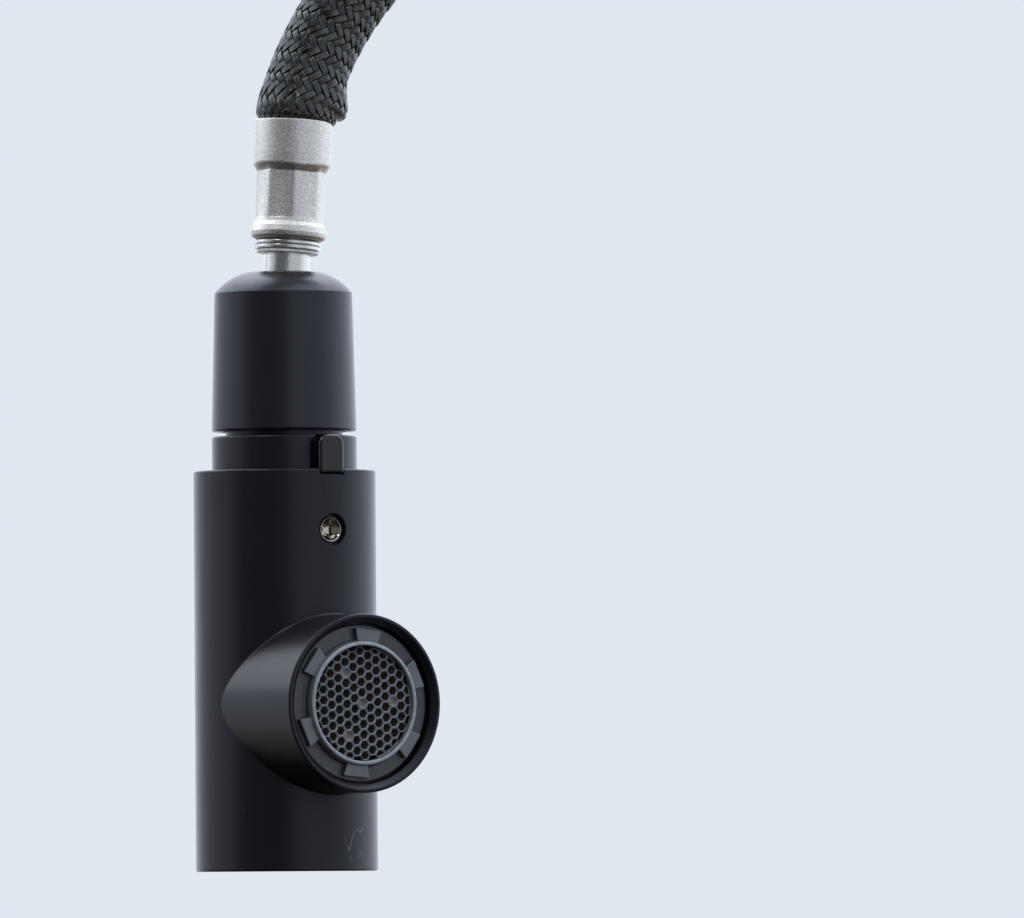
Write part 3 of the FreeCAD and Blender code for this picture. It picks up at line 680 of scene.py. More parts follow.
def skin(grid: Array, wrap_rows: bool = False, wrap_columns: bool = False,
         uv: Array | None = None, finish: int = 0) -> Patch:
    """Faces over a grid of points, each joining four neighbours.

    Args:
        grid: the points, rows by columns by 3.
        wrap_rows: True where the last row joins the first.
        wrap_columns: True where the last column joins the first.
        uv: the map places of the grid's points, with the repeated row and column.
        finish: the number of the piece's finish.

    Returns:
        The patch.
    """
    number = np.arange(grid.shape[0] * grid.shape[1]).reshape(grid.shape[:2])
    if wrap_rows:
        number = np.concatenate([number, number[:1]])
    if wrap_columns:
        number = np.concatenate([number, number[:, :1]], axis=1)

    def corners(lattice: NDArray[Any]) -> NDArray[Any]:
        """The lattice's value at the four corners of every face."""
        return np.stack([lattice[:-1, :-1], lattice[:-1, 1:], lattice[1:, 1:], lattice[1:, :-1]],
                        axis=2)

    spots = None if uv is None else corners(uv).reshape(-1, 4, 2)
    return Patch(grid.reshape(-1, 3), corners(number).reshape(-1, 4), spots, finish)


def outline(corners: Sequence[Sequence[float]], closed: bool = True, segments: int = 4) -> Array:
    """A line of straight runs whose corners are rounded.

    A rounded corner is the arc tangent to both runs. Each run also has a point HOLD from either
    end, which keeps its shading flat.

    Args:
        corners: each corner's radius and height, and its rounding if it has one.
        closed: True where the last corner joins the first.
        segments: the straight pieces of each arc.

    Returns:
        The line's points, as radius and height.
    """
    spots = np.array([c[:2] for c in corners], float)
    rounding = np.array([c[2] if len(c) > 2 else 0.0 for c in corners])
    ahead = np.roll(spots, -1, 0) - spots
    length = np.maximum(np.linalg.norm(ahead, axis=1), 1e-9)
    out = ahead / length[:, None]
    into = np.roll(out, 1, 0)
    angle = np.arccos(np.clip((into * out).sum(1), -1.0, 1.0))
    if not closed:
        angle[[0, -1]] = 0.0
        rounding[[0, -1]] = 0.0
    cut = rounding * np.tan(angle / 2.0)
    line: list[Array] = []
    for k, spot in enumerate(spots):
        if cut[k] > 0.0:
            inward = out[k] - into[k] * (into[k] @ out[k])
            inward /= np.linalg.norm(inward)
            start = spot - into[k] * cut[k]
            t = np.linspace(0.0, angle[k], segments + 1)[:, None]
            line.append(start + rounding[k] * (inward * (1.0 - np.cos(t)) + into[k] * np.sin(t)))
        else:
            line.append(spot[None])
        after = (k + 1) % len(spots)
        run = length[k] - cut[k] - cut[after]
        if (closed or k < len(spots) - 1) and run > 3.0 * HOLD:
            first = spot + out[k] * (cut[k] + HOLD)
            line.append(np.stack([first, first + out[k] * (run - 2.0 * HOLD)]))
    return np.concatenate(line)


def turned(line: Array, place: Place, closed: bool = True, columns: int = 96,
           shape: Callable[[Array, Array, Array], Array] | None = None, finish: int = 0) -> Patch:
    """A line carried round an axis: x is radius times cosine, y is radius times sine.

    Args:
        line: the radii and heights, a loop, or open with both its ends on the axis.
        place: where the axis lies.
        closed: True where the line is a loop.
        columns: the steps round the axis.
        shape: gives the radius from the radius, height and angle, or None to leave it round.
        finish: the number of the piece's finish.

    Returns:
        The patch.
    """
    angle = np.arange(columns) * (TURN / columns)
    radius = np.repeat(line[:, :1], columns, 1)
    height = np.repeat(line[:, 1:], columns, 1)
    if shape:
        radius = shape(radius, height, angle[None])
    grid = np.stack([radius * np.cos(angle), radius * np.sin(angle), height], axis=-1)
    return skin(place.put(grid), closed, True, finish=finish)


def stacked(rim: Callable[[float], Array], levels: Sequence[tuple[float, float]], place: Place,
            finish: int = 0) -> Patch:
    """A solid with one outline all the way up, closed by a fan at either end.

    Args:
        rim: gives the outline's x and y for an inset from its edge.
        levels: each level's inset and height, from the bottom up.
        place: where the solid stands.
        finish: the number of the piece's finish.

    Returns:
        The patch.
    """
    rows = [np.column_stack([rim(inset), np.full(len(rim(inset)), height)])
            for inset, height in levels]
    middle = [np.broadcast_to(row.mean(0), row.shape) for row in (rows[0], rows[-1])]
    return skin(place.put(np.stack([middle[0], *rows, middle[1]])), False, True, finish=finish)


def rounded_box(half_x: float, low: float, high: float, corners: tuple[float, float],
                flare: float = 0.0) -> Callable[[float], Array]:
    """The outline of an upright block with rounded corners.

    Args:
        half_x: half its width.
        low: its lower edge.
        high: its upper edge.
        corners: the radius of its lower and of its upper corners.
        flare: how much wider each side is at the upper edge than at the middle.

    Returns:
        A function from an inset to the outline's points.
    """
    def rim(inset: float) -> Array:
        """The outline: four quarter circles, their centres moved in by the corner radius."""
        t = np.linspace(0.0, math.pi / 2.0, 9)
        parts = []
        for quarter, (sx, sy) in enumerate(((1, 1), (-1, 1), (-1, -1), (1, -1))):
            radius = corners[1] if sy > 0 else corners[0]
            x = half_x + flare * sy - radius
            y = high - radius if sy > 0 else low + radius
            reach = max(radius - inset, 0.02)
            shift = radius - inset - reach
            a = t + quarter * math.pi / 2.0
            parts.append(np.column_stack([sx * (x + shift) + reach * np.cos(a),
                                          y + sy * shift + reach * np.sin(a)]))
        return np.concatenate(parts)
    return rim


def edge_levels(low: float, high: float, bottom: float, top: float) -> list[tuple[float, float]]:
    """The insets and heights of a slab whose two edges are rounded as quarter circles.

    Args:
        low: the slab's underside.
        high: its upper side.
        bottom: the rounding of the lower edge.
        top: the rounding of the upper edge.

    Returns:
        The levels, from the bottom up.
    """
    t = np.linspace(0.0, math.pi / 2.0, 5)
    lower = [(bottom * (1 - math.sin(a)), low + bottom * (1 - math.cos(a))) for a in t]
    upper = [(top * (1 - math.cos(a)), high - top * (1 - math.sin(a))) for a in t]
    return [(bottom + HOLD, low), *lower, (0.0, low + bottom + 0.05), (0.0, high - top - 0.05),
            *upper, (top + HOLD, high)]


class Maker:
    """Writes pieces into the scene, sets each on its body and hides the CAD nodes that it stands for.
    """

    def __init__(self, finishes: Finishes) -> None:
        """Keeps the finishes."""
        self.finishes = finishes

    def piece(self, name: str, patches: Sequence[Patch], slots: Sequence[str], body: Body,
              nodes: Sequence[str] = (), record_slot: str | None = None) -> bpy.types.Object:
        """Writes one piece: joins its patches, welds their borders and turns its faces outwards.

        Args:
            name: the piece's name.
            patches: its surfaces.
            slots: the finishes that the patches number.
            body: the body that it rides on.
            nodes: the CAD nodes that it stands for.
            record_slot: the record's slot, where it isn't the first finish; not used.

        Returns:
            The piece.
        """
        mesh = self._mesh(name, patches)
        for slot in slots:
            mesh.materials.append(self.finishes[slot])
        piece = bpy.data.objects.new(name, mesh)
        bpy.context.scene.collection.objects.link(piece)
        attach(piece, body.value)
        if nodes:
            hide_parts(*nodes)
        log.info("%s: %d faces on %s", name, len(mesh.polygons), body.value)
        return piece

    @staticmethod
    def _mesh(name: str, patches: Sequence[Patch]) -> bpy.types.Mesh:
        """Makes one closed mesh of the patches.

        Args:
            name: the mesh's name.
            patches: its surfaces, in millimetres on the head's axes.

        Returns:
            The mesh, in metres in the row frame.
        """
        starts = np.cumsum([0] + [len(p.points) for p in patches])
        points = (np.concatenate([p.points for p in patches]) + (0.0, 0.0, BASE)) * MM
        faces = np.concatenate([p.faces + s for p, s in zip(patches, starts)])
        mesh = bpy.data.meshes.new(name)
        mesh.vertices.add(len(points))
        mesh.vertices.foreach_set("co", points.astype(np.float32).ravel())
        mesh.loops.add(faces.size)
        mesh.loops.foreach_set("vertex_index", faces.astype(np.int32).ravel())
        mesh.polygons.add(len(faces))
        mesh.polygons.foreach_set("loop_start", np.arange(0, faces.size, 4, dtype=np.int32))
        mesh.polygons.foreach_set("material_index", np.concatenate(
            [np.full(len(p.faces), p.finish, np.int32) for p in patches]))
        if any(p.uv is not None for p in patches):
            spots = np.concatenate([np.zeros((len(p.faces), 4, 2)) if p.uv is None else p.uv
                                    for p in patches])
            mesh.uv_layers.new(name=WEAVE_MAP).data.foreach_set(
                "uv", spots.astype(np.float32).ravel())
        mesh.update(calc_edges=True)
        work = bmesh.new()
        work.from_mesh(mesh)
        bmesh.ops.remove_doubles(work, verts=work.verts, dist=WELD)
        bmesh.ops.recalc_face_normals(work, faces=work.faces)
        work.to_mesh(mesh)
        work.free()
        mesh.shade_smooth()
        mesh.set_sharp_from_angle(angle=SHARP)
        return mesh

    def dress_nodes(self) -> None:
        """Gives every CAD node that still shows the finish of its slot."""
        for part in frame["record"]["subparts"]:
            node = frame["nodes"][part["node"]]
            if not node.hide_render:
                node.data.materials.clear()
                node.data.materials.append(self.finishes[part["material_slot"]])
                log.info("%s: CAD node in %s", part["node"], part["material_slot"])

    def squeeze_spring(self) -> None:
        """Gives the check valve's spring a mesh of its own."""
        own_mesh(frame["nodes"]["check_valve_spring"])


# ------------------------------------------------------------------- studio


@dataclass
class Studio:
    """The camera, the lights, the air round them and the floor."""

    azimuth: float = -33.0
    elevation: float = -1.85
    roll: float = 0.42
    distance: float = 1.96
    lens: float = 448.0
    aim_height: float = 63.14
    aim_right: float = 35.02
    floor_height: float = -0.42

    def build(self, finishes: Finishes) -> None:
        """Makes the camera first, then the air, lights and floor."""
        self._camera()
        self._air()
        self._lights()
        self._floor(finishes)

    def _axes(self) -> tuple[Vector, Vector, Vector]:
        """The camera's right, up and back directions.

        Returns:
            The three directions, rolled about the view.
        """
        a, e = math.radians(self.azimuth), math.radians(self.elevation)
        back = Vector((math.sin(a) * math.cos(e), -math.cos(a) * math.cos(e), math.sin(e)))
        right = Vector((math.cos(a), math.sin(a), 0.0))
        up = back.cross(right)
        c, s = math.cos(math.radians(self.roll)), math.sin(math.radians(self.roll))
        return right * c - up * s, up * c + right * s, back

    def _camera(self) -> None:
        """Sets the camera off along the back direction from the point that it looks at."""
        right, up, back = self._axes()
        flat = Vector((math.cos(math.radians(self.azimuth)),
                       math.sin(math.radians(self.azimuth)), 0.0))
        aim = Vector((0.0, 0.0, (self.aim_height + BASE) * MM)) + flat * (self.aim_right * MM)
        data = bpy.data.cameras.new("camera")
        data.lens, data.sensor_width = self.lens, 36.0
        data.clip_start, data.clip_end = 0.05, 60.0
        camera = bpy.data.objects.new("camera", data)
        bpy.context.scene.collection.objects.link(camera)
        turn = Matrix((right, up, back)).transposed().to_4x4()
        camera.matrix_world = Matrix.Translation(aim + back * self.distance) @ turn
        bpy.context.scene.camera = camera

    def _air(self) -> None:
        """Fills the surroundings: pale where seen straight, and a lit room for what gloss shows.

        The room is dark in a sector of bearings in front, bright elsewhere and brightest high
        behind, and fades to a warm dimness below the horizon, all by smooth steps.
        """
        world = bpy.data.worlds.new("studio_air")
        bpy.context.scene.world = world
        g = Graph(world)
        a = math.radians(self.azimuth)
        ray = g.node("ShaderNodeTexCoord", output="Generated")

        def along(direction: Triple) -> Signal:
            """How far the ray points along a direction."""
            return g.node("ShaderNodeVectorMath", {"operation": "DOT_PRODUCT"},
                          {0: ray, 1: direction}, "Value")

        front, side = along((math.sin(a), -math.cos(a), 0.0)), along((math.cos(a), math.sin(a), 0.0))
        up = along((0.0, 0.0, 1.0))
        off = (side.maths("ARCTAN2", front) + WALL_BEARING).single("ABSOLUTE")
        wall = off.between(0.44, 0.85, 0.19, 0.93) + off.between(1.6, 2.4, 0.0, 0.75)
        high = up.between(0.22, 0.85) * front.between(0.25, -0.40) * 1.6
        wall = wall * up.between(-0.55, -0.02, 0.10, 1.0) * up.between(0.3, 0.8, 1.0, 0.7)
        strength = wall + high + up.between(0.5, 1.0) * 1.3
        tint = g.blend(up.between(-0.5, -0.1), (1.0, 0.90, 0.80), (0.86, 0.94, 1.05))
        room = g.node("ShaderNodeBackground", inputs={"Color": tint, "Strength": strength})
        seen = g.node("ShaderNodeBackground", inputs={"Color": (0.745, 0.803, 0.866)})
        straight = g.node("ShaderNodeLightPath", output="Is Camera Ray")
        both = g.node("ShaderNodeMixShader", inputs={0: straight, 1: room, 2: seen})
        out = g.tree.nodes.new("ShaderNodeOutputWorld")
        g.tree.links.new(both.socket, out.inputs["Surface"])

    def _lights(self) -> None:
        """Hangs the soft boxes, each given by its bearing from the camera's, height and size."""
        aim = Vector((0.0, 0.0, (self.aim_height + BASE) * MM))
        boxes = (
            ("back_box", 180.0, 58.0, 1.7, (1.6, 1.0), 5.0, (1.0, 1.0, 1.0)),
            ("left_box", -112.0, 26.0, 1.5, (0.8, 0.9), 3.6, (0.92, 0.97, 1.0)),
            ("spark_box", -42.0, 50.0, 1.5, (0.24, 0.24), 4.5, (1.0, 1.0, 1.0)),
        )
        for name, bearing, height, reach, size, power, colour in boxes:
            a, e = math.radians(self.azimuth + bearing), math.radians(height)
            toward = Vector((math.sin(a) * math.cos(e), -math.cos(a) * math.cos(e), math.sin(e)))
            data = bpy.data.lights.new(name, "AREA")
            data.shape, data.size, data.size_y = "RECTANGLE", *size
            data.energy, data.color = power, colour
            box = bpy.data.objects.new(name, data)
            box.matrix_world = (Matrix.Translation(aim + toward * reach)
                                @ toward.to_track_quat("Z", "Y").to_matrix().to_4x4())
            box.visible_camera = False
            bpy.context.scene.collection.objects.link(box)
        bpy.context.scene.view_settings.view_transform = "Standard"

    def _floor(self, finishes: Finishes) -> None:
        """Lays the floor, a disc whose points are radius times the cosine and sine of a turn."""
        angle = np.arange(64) * (TURN / 64)
        radius = np.array([0.0, 1.0, 3.0, 9.0])[:, None]
        grid = np.stack([radius * np.cos(angle), radius * np.sin(angle),
                         np.full((4, 64), self.floor_height)], axis=-1) / MM
        mesh = Maker._mesh("floor", [skin(grid - (0.0, 0.0, BASE), False, True)])
        mesh.materials.append(finishes["floor"])
        floor = bpy.data.objects.new("floor", mesh)
        bpy.context.scene.collection.objects.link(floor)
        floor.visible_glossy = floor.visible_diffuse = False


# --------------------------------------------------------------------- hose


LEAD_ROUTE: tuple[Triple, ...] = (
    (2.05, 0.0, 113.30), (2.50, 0.0, 116.80), (3.70, 0.0, 119.80), (5.48, 0.0, 124.40),
    (8.18, -0.1, 129.25), (12.00, -0.4, 134.80), (18.10, -1.2, 141.80), (27.00, -3.5, 150.20),
    (37.50, -6.0, 160.10), (47.50, -6.5, 169.95))
TAIL_ROUTE: tuple[Triple, ...] = (
    (-66.65, 6.5, 237.86), (-70.28, 6.5, 224.34), (-75.98, 6.5, 211.55), (-80.95, 6.5, 199.54),
    (-85.40, 6.5, 187.32))


def smooth(t: Array) -> Array:
    """A smooth step from 0 to 1: three times the square less twice the cube, held outside."""
    t = np.clip(t, 0.0, 1.0)
    return t * t * (3.0 - 2.0 * t)


@dataclass
class Hose:
    """The braided hose: a lead off the ferrule, a tied coil and a tail to the supply fitting."""

    radius: float = 6.25
    strands: int = 24
    woven: float = 50.0
    core: float = 5.42
    mouth: float = 2.1
    coil_height: float = 220.0
    outer_turn: float = 69.0
    inner_turn: float = 56.0
    side: float = 6.5
    entry: float = -46.5
    sweep: float = 1291.5
    per_turn: int = 16
    length: float = 1.515

    def _coil(self) -> list[Triple]:
        """The coil's route: a circle whose radius and side move by smooth steps of its angle.

        Returns:
            The route's points, pushed out a little because the spline cuts inside them.
        """
        turn = np.arange(360.0 / self.per_turn * 0.7, self.sweep - 8.0, 360.0 / self.per_turn)
        inner = smooth((turn - 290.0) / 55.0) - smooth((turn - 1030.0) / 55.0)
        radius = (self.outer_turn + (self.inner_turn - self.outer_turn) * inner) / 0.981
        side = self.side * (2.0 * smooth((turn - 650.0) / 65.0) - 1.0)
        angle = np.radians(self.entry + turn)
        return list(zip(radius * np.cos(angle), side, self.coil_height + radius * np.sin(angle)))

    def centreline(self) -> Array:
        """The points of the route's own spline.

        Returns:
            The points, in millimetres on the head's axes, from the ferrule to the fitting.
        """
        route = np.array([*LEAD_ROUTE, *self._coil(), *TAIL_ROUTE])
        data = bpy.data.curves.new("hose_route", "CURVE")
        data.dimensions, data.resolution_u = "3D", 20
        spline = data.splines.new("NURBS")
        spline.points.add(len(route) - 1)
        spline.points.foreach_set("co", np.column_stack([route, np.ones(len(route))]).ravel())
        spline.order_u = 3
        spline.use_endpoint_u = True
        curve = bpy.data.objects.new("hose_route", data)
        bpy.context.scene.collection.objects.link(curve)
        mesh = bpy.data.meshes.new_from_object(curve)
        line = np.zeros(len(mesh.vertices) * 3)
        mesh.vertices.foreach_get("co", line)
        bpy.data.objects.remove(curve)
        bpy.data.meshes.remove(mesh)
        line = line.reshape(-1, 3)
        keep = np.r_[True, np.linalg.norm(np.diff(line, axis=0), axis=1) > 0.05]
        line = line[keep]
        return line if line[0, 2] < line[-1, 2] else line[::-1]

    def build(self, maker: Maker) -> bpy.types.Object:
        """Args:
            maker: writes the pieces.

        Returns:
            The hose.
        """
        self.line = self.centreline()
        self.run = np.r_[0.0, np.cumsum(np.linalg.norm(np.diff(self.line, axis=0), axis=1))]
        tangent = np.gradient(self.line, self.run, axis=0)
        tangent /= np.linalg.norm(tangent, axis=1, keepdims=True)
        aside = np.array([0.0, 1.0, 0.0]) - tangent[:, 1:2] * tangent
        self.aside = aside / np.linalg.norm(aside, axis=1, keepdims=True)
        self.over = np.cross(tangent, self.aside)
        self.tangent = tangent
        hose = maker.piece("hose_tube", [self._tube()], ["braid"], Body.HOSE,
                           ["hose_sleeve", "hose_inner_tube", "hose_coil", "hose_tail"])
        strands = [maker.piece(f"hose_strands_{name}", [self._strands(hand)], ["yarn"],
                               Body.HOSE, record_slot="braid")
                   for name, hand in (("right", 1), ("left", -1))]
        ties = [maker.piece(f"coil_strap_{name}", [self._tie(start)], ["strap"], Body.HOSE,
                            [f"coil_tie_{name}"])
                for name, start in (("right", 30.0), ("left", 150.0))]
        self.pieces = [*strands, *ties]
        return hose

    def declare(self, fitting: Sequence[bpy.types.Object]) -> None:
        """Args:
            fitting: the pieces of the supply fitting; not used.
        """
        path = (self.line + (0.0, 0.0, BASE)) * MM
        log.info("hose: centreline %.4f m", self.run[-1] * MM)
        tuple(path[0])
        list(self.pieces)

    def _at(self, run: Array, angle: Array, radius: Array) -> Array:
        """Points round the hose: the centreline plus radius times cosine aside and sine over.

        Args:
            run: the lengths along the hose.
            angle: the angles round it.
            radius: the distances from its centreline.

        Returns:
            The points.
        """
        def along(values: Array) -> Array:
            """The values of the centreline's points, read at each length."""
            return np.stack([np.interp(run, self.run, values[:, k]) for k in range(3)], axis=-1)

        middle = along(self.line) + np.minimum(run, 0.0)[..., None] * self.tangent[0]
        return (middle + (radius * np.cos(angle))[..., None] * along(self.aside)
                + (radius * np.sin(angle))[..., None] * along(self.over))

    def _tube(self) -> Patch:
        """The hose as one closed tube with a ring at every point of its centreline.

        Returns:
            The patch, with a map that counts strands round and along it.
        """
        columns = 40
        full = self.radius - 0.15
        wide = self.core + (full - self.core) * smooth((self.run - self.woven + 2.0) / 1.6)
        wide = 4.85 + (wide - 4.85) * smooth((self.run - self.mouth) / 1.6)
        run = np.r_[self.run[0], self.run, self.run[-1]]
        wide = np.r_[0.0, wide, 0.0]
        angle = np.arange(columns) * (TURN / columns)
        grid = self._at(np.repeat(run[:, None], columns, 1), np.repeat(angle[None], len(run), 0),
                        np.repeat(wide[:, None], columns, 1))
        pitch = TURN * self.radius / self.strands
        round_it = np.arange(columns + 1) / columns * self.strands
        uv = np.stack(np.broadcast_arrays(round_it[None], run[:, None] / pitch), axis=-1)
        return skin(grid, False, True, uv)

    def _strands(self, hand: int) -> Patch:
        """One family of flat bands, wound at 45 degrees, two over and two under.

        A band's middle keeps one of the sums a = u + v and b = u - v of the strand counts round
        and along. Its height is a cosine of the other sum with its tops flattened by a hyperbolic
        tangent, highest where it passes over, and its section is an arch of filaments closed by
        a flat underside.

        Args:
            hand: 1 for the bands that keep a, -1 for those that keep b.

        Returns:
            The patch, with a map across and along each band.
        """
        pitch = TURN * self.radius / self.strands
        step, low = 0.24, 0.3
        count = int((self.woven + 1.0 - low) / step)
        filaments, half, underside, flatness = 5, 0.47, -0.34, 1.7
        index = np.arange(self.strands)[:, None, None]
        run = (low + step * np.arange(count))[None, :, None]
        across = np.linspace(-half, half, 2 * filaments + 1)
        bulge = 0.022 * (np.arange(2 * filaments + 1) % 2)
        arch = -0.07 * (across / half) ** 8
        lift = np.r_[arch + bulge, [underside, underside]]
        across = np.r_[across, [0.40, -0.40]][None, None, :]
        own = index + 0.5
        other = own - hand * 2.0 * run / pitch
        peak = index if hand > 0 else index + 3.0
        wave = np.cos((other - peak) * math.pi / 2.0)
        wave = np.tanh(flatness * wave) / math.tanh(flatness)
        if hand > 0:
            a, b = own + across, other + 0.0 * across
        else:
            a, b = other + 0.0 * across, own + across
        a, b = np.broadcast_arrays(a, b)
        angle, place = TURN * (a + b) / 2.0 / self.strands, (a - b) / 2.0 * pitch
        out = place - self.mouth
        loose = smooth((out + 0.9) / 1.7)
        pouch = smooth((out - 1.5) / 2.1) * (1.0 - smooth((out - 3.4) / 5.5))
        middle = (5.20 + 0.86 * loose - 0.24 * smooth((out - 2.0) / 12.0)
                  + 0.14 * smooth((out - 33.0) / 15.0)
                  + 1.6 * pouch * np.maximum(-np.sin(angle), 0.0) ** 1.5)
        radius = middle + 0.20 * wave * (0.35 + 0.65 * loose) + lift[None, None, :]
        points = self._at(place, angle, radius)
        ends = [points.mean(2, keepdims=True)[:, k] + 0.0 * points[:, k] for k in (0, -1)]
        points = np.concatenate([ends[0][:, None], points, ends[1][:, None]], axis=1)
        bands, rows, columns = points.shape[:3]
        spot_u = np.r_[np.linspace(0.0, 1.0, 2 * filaments + 1), [1.0, 0.0, 0.0]]
        spot_v = np.arange(rows) * step
        uv = np.stack(np.broadcast_arrays(spot_u[None], spot_v[:, None]), axis=-1)
        patches = [skin(points[k], False, True, uv + (0.0, 7.3 * k)) for k in range(bands)]
        starts = np.arange(bands) * rows * columns
        return Patch(np.concatenate([p.points for p in patches]),
                     np.concatenate([p.faces + s for p, s in zip(patches, starts)]),
                     np.concatenate([p.uv for p in patches]))

    def _tie(self, start: float) -> Patch:
        """A strap round the coil: a rounded square carried 15 degrees along the coil's circle.

        The strap's section loop runs up its outside, over one rounded edge, back down its inside
        and over the other edge. Its outside bows a little between the edges.

        Args:
            start: the angle on the coil where it starts.

        Returns:
            The patch.
        """
        half, corner, thick = 12.75, 6.25, 1.4
        t = np.linspace(0.0, math.pi / 2.0, 9)
        round_it = []
        for quarter, (sx, sy) in enumerate(((1, 1), (-1, 1), (-1, -1), (1, -1))):
            a = t + quarter * math.pi / 2.0
            edge = np.column_stack([np.cos(a), np.sin(a)])
            core = np.array([sx, sy]) * (half - corner)
            round_it.append(np.concatenate([np.broadcast_to(core, (9, 2)), edge], axis=1))
        base = np.concatenate(round_it)
        bow = np.linspace(0.0, 1.0, 7)
        lip = np.linspace(0.0, math.pi, 7)[1:-1]
        out = np.r_[np.full(7, thick) - 0.12 * (2 * bow - 1) ** 4, 0.7 + 0.58 * np.cos(lip),
                    np.full(7, 0.04), 0.7 - 0.58 * np.cos(lip)]
        along = np.r_[bow * 14.0 + 0.5, 14.5 + 0.5 * np.sin(lip), 14.5 - bow * 14.0,
                      0.5 - 0.5 * np.sin(lip)]
        radius = 62.5 + base[:, None, 0] + base[:, None, 2] * (corner + out[None])
        side = base[:, None, 1] + base[:, None, 3] * (corner + out[None])
        angle = np.radians(start + along)[None]
        grid = np.stack([radius * np.cos(angle), side + 0.0 * angle,
                         self.coil_height + radius * np.sin(angle)], axis=-1)
        return skin(grid, True, True)


# --------------------------------------------------------------- spray body


@dataclass
class SprayBody:
    """The cylindrical body, its outlet branch, the collar's socket and the screw's hole."""

    radius: float = 14.0
    height: float = 61.5
    edge: float = 0.3
    outlet_radius: float = 13.65
    outlet_height: float = 25.5
    outlet_reach: float = 22.8
    joint: float = 0.4
    parting: float = 45.0
    screw_height: float = 52.2
    screw_hole: float = 2.4
    screw_edge: float = 0.12
    notch_half: float = 2.25
    notch_floor: float = 60.65
    recess_radius: float = 11.3
    recess_floor: float = 60.5
    socket_radius: float = 10.0
    socket_floor: float = 49.3

    def build(self, maker: Maker) -> None:
        """Makes the body as one closed shell.

        Args:
            maker: writes the piece.
        """
        self.bearing = self._bearings()
        flat = np.full(len(self.bearing), self.parting)
        rim = np.full(len(self.bearing), self.height - self.edge)
        rim[np.abs(self.bearing) < self._notch_bearing()] = self.notch_floor
        foot = np.full(len(self.bearing), self.edge)
        lower, turn = self._holed(foot, flat, 44, self.outlet_height, self._joint_on_body)
        upper, screw_turn = self._holed(flat, rim, 14, self.screw_height, self._screw_on_body)
        maker.piece("spray_body_shell", [
            lower, upper, self._top(), self._foot(), self._joint(turn), self._branch(turn),
            self._screw_hole(screw_turn)], ["body_black"], Body.HEAD, ["spray_body"])

    def _notch_bearing(self) -> float:
        """The bearing of the key notch's side on the body's surface."""
        return math.asin(self.notch_half / self.radius)

    def _bearings(self) -> Array:
        """The bearings from the front that every level of the body shares.

        Returns:
            Even steps of 2.5 degrees, with two close ones at either side of the notch.
        """
        even = np.linspace(-math.pi, math.pi, 145)
        side, gap = self._notch_bearing(), 0.0008
        even = even[(np.abs(np.abs(even) - side) > 0.012)]
        extra = [s * (side + d) for s in (-1, 1) for d in (-gap, gap)]
        return np.sort(np.r_[even, extra])

    def _on_body(self, bearing: Array, height: Array, radius: Array | float) -> Array:
        """Points of a cylinder: x is radius times the bearing's sine, y less its cosine."""
        bearing, height, radius = np.broadcast_arrays(bearing, height, radius)
        return np.stack([radius * np.sin(bearing), -radius * np.cos(bearing), height], axis=-1)

    def _joint_centre(self, turn: Array) -> Array:
        """The centre of the ball that rolls in the joint of body and branch.

        It is one ball radius off both cylinders: the branch's gives x and height, and the
        body's gives y.

        Args:
            turn: the angles round the branch.

        Returns:
            The centres.
        """
        reach = self.outlet_radius + self.joint
        x = reach * np.cos(turn)
        y = -np.sqrt((self.radius + self.joint) ** 2 - x ** 2)
        return np.stack([x, y, self.outlet_height + reach * np.sin(turn)], axis=-1)

    def _joint_on_body(self, turn: Array) -> Array:
        """The rolling ball's contact with the body, as bearing and height."""
        centre = self._joint_centre(turn)
        return np.stack([np.arctan2(centre[:, 0], -centre[:, 1]), centre[:, 2]], axis=-1)

    def _screw_on_body(self, turn: Array) -> Array:
        """The edge of the screw's hole on the body, as bearing and height."""
        reach = self.screw_hole + self.screw_edge
        return np.stack([np.arcsin(reach * np.cos(turn) / self.radius),
                         self.screw_height + reach * np.sin(turn)], axis=-1)

    def _holed(self, low: Array, high: Array, sides: int, middle: float,
               hole: Callable[[Array], Array]) -> tuple[Patch, Array]:
        """The unrolled skin between two levels, with one hole, rolled up again.

        Every point of its border, a rectangle of bearing and height, is joined by a straight
        line in that plane to the hole's point in the same direction from the hole's middle.

        Args:
            low: the height of the lower level at each bearing.
            high: the height of the upper level at each bearing.
            sides: the steps up the seam at the back.
            middle: the height of the hole's middle.
            hole: gives the hole's bearing and height for each direction.

        Returns:
            The patch, and the directions of its columns.
        """
        share = np.arange(sides) / sides
        rise = low[0] + (high[0] - low[0]) * share
        fall = high[0] + (low[0] - high[0]) * share[1:]
        border = np.concatenate([
            np.column_stack([np.full(sides, math.pi), rise]),
            np.column_stack([self.bearing[::-1], high[::-1]]),
            np.column_stack([np.full(sides - 1, -math.pi), fall]),
            np.column_stack([self.bearing[:-1], low[:-1]])])
        turn = np.unwrap(np.arctan2(border[:, 1] - middle, border[:, 0] * self.radius))
        t = np.r_[0.0, 0.004, 0.012, 0.026, 0.046, 0.072, np.linspace(0.10, 0.97, 46), 0.985,
                  0.996, 1.0][:, None, None]
        flat = (1.0 - t) * hole(turn)[None] + t * border[None]
        return skin(self._on_body(flat[..., 0], flat[..., 1], self.radius), False, True), turn

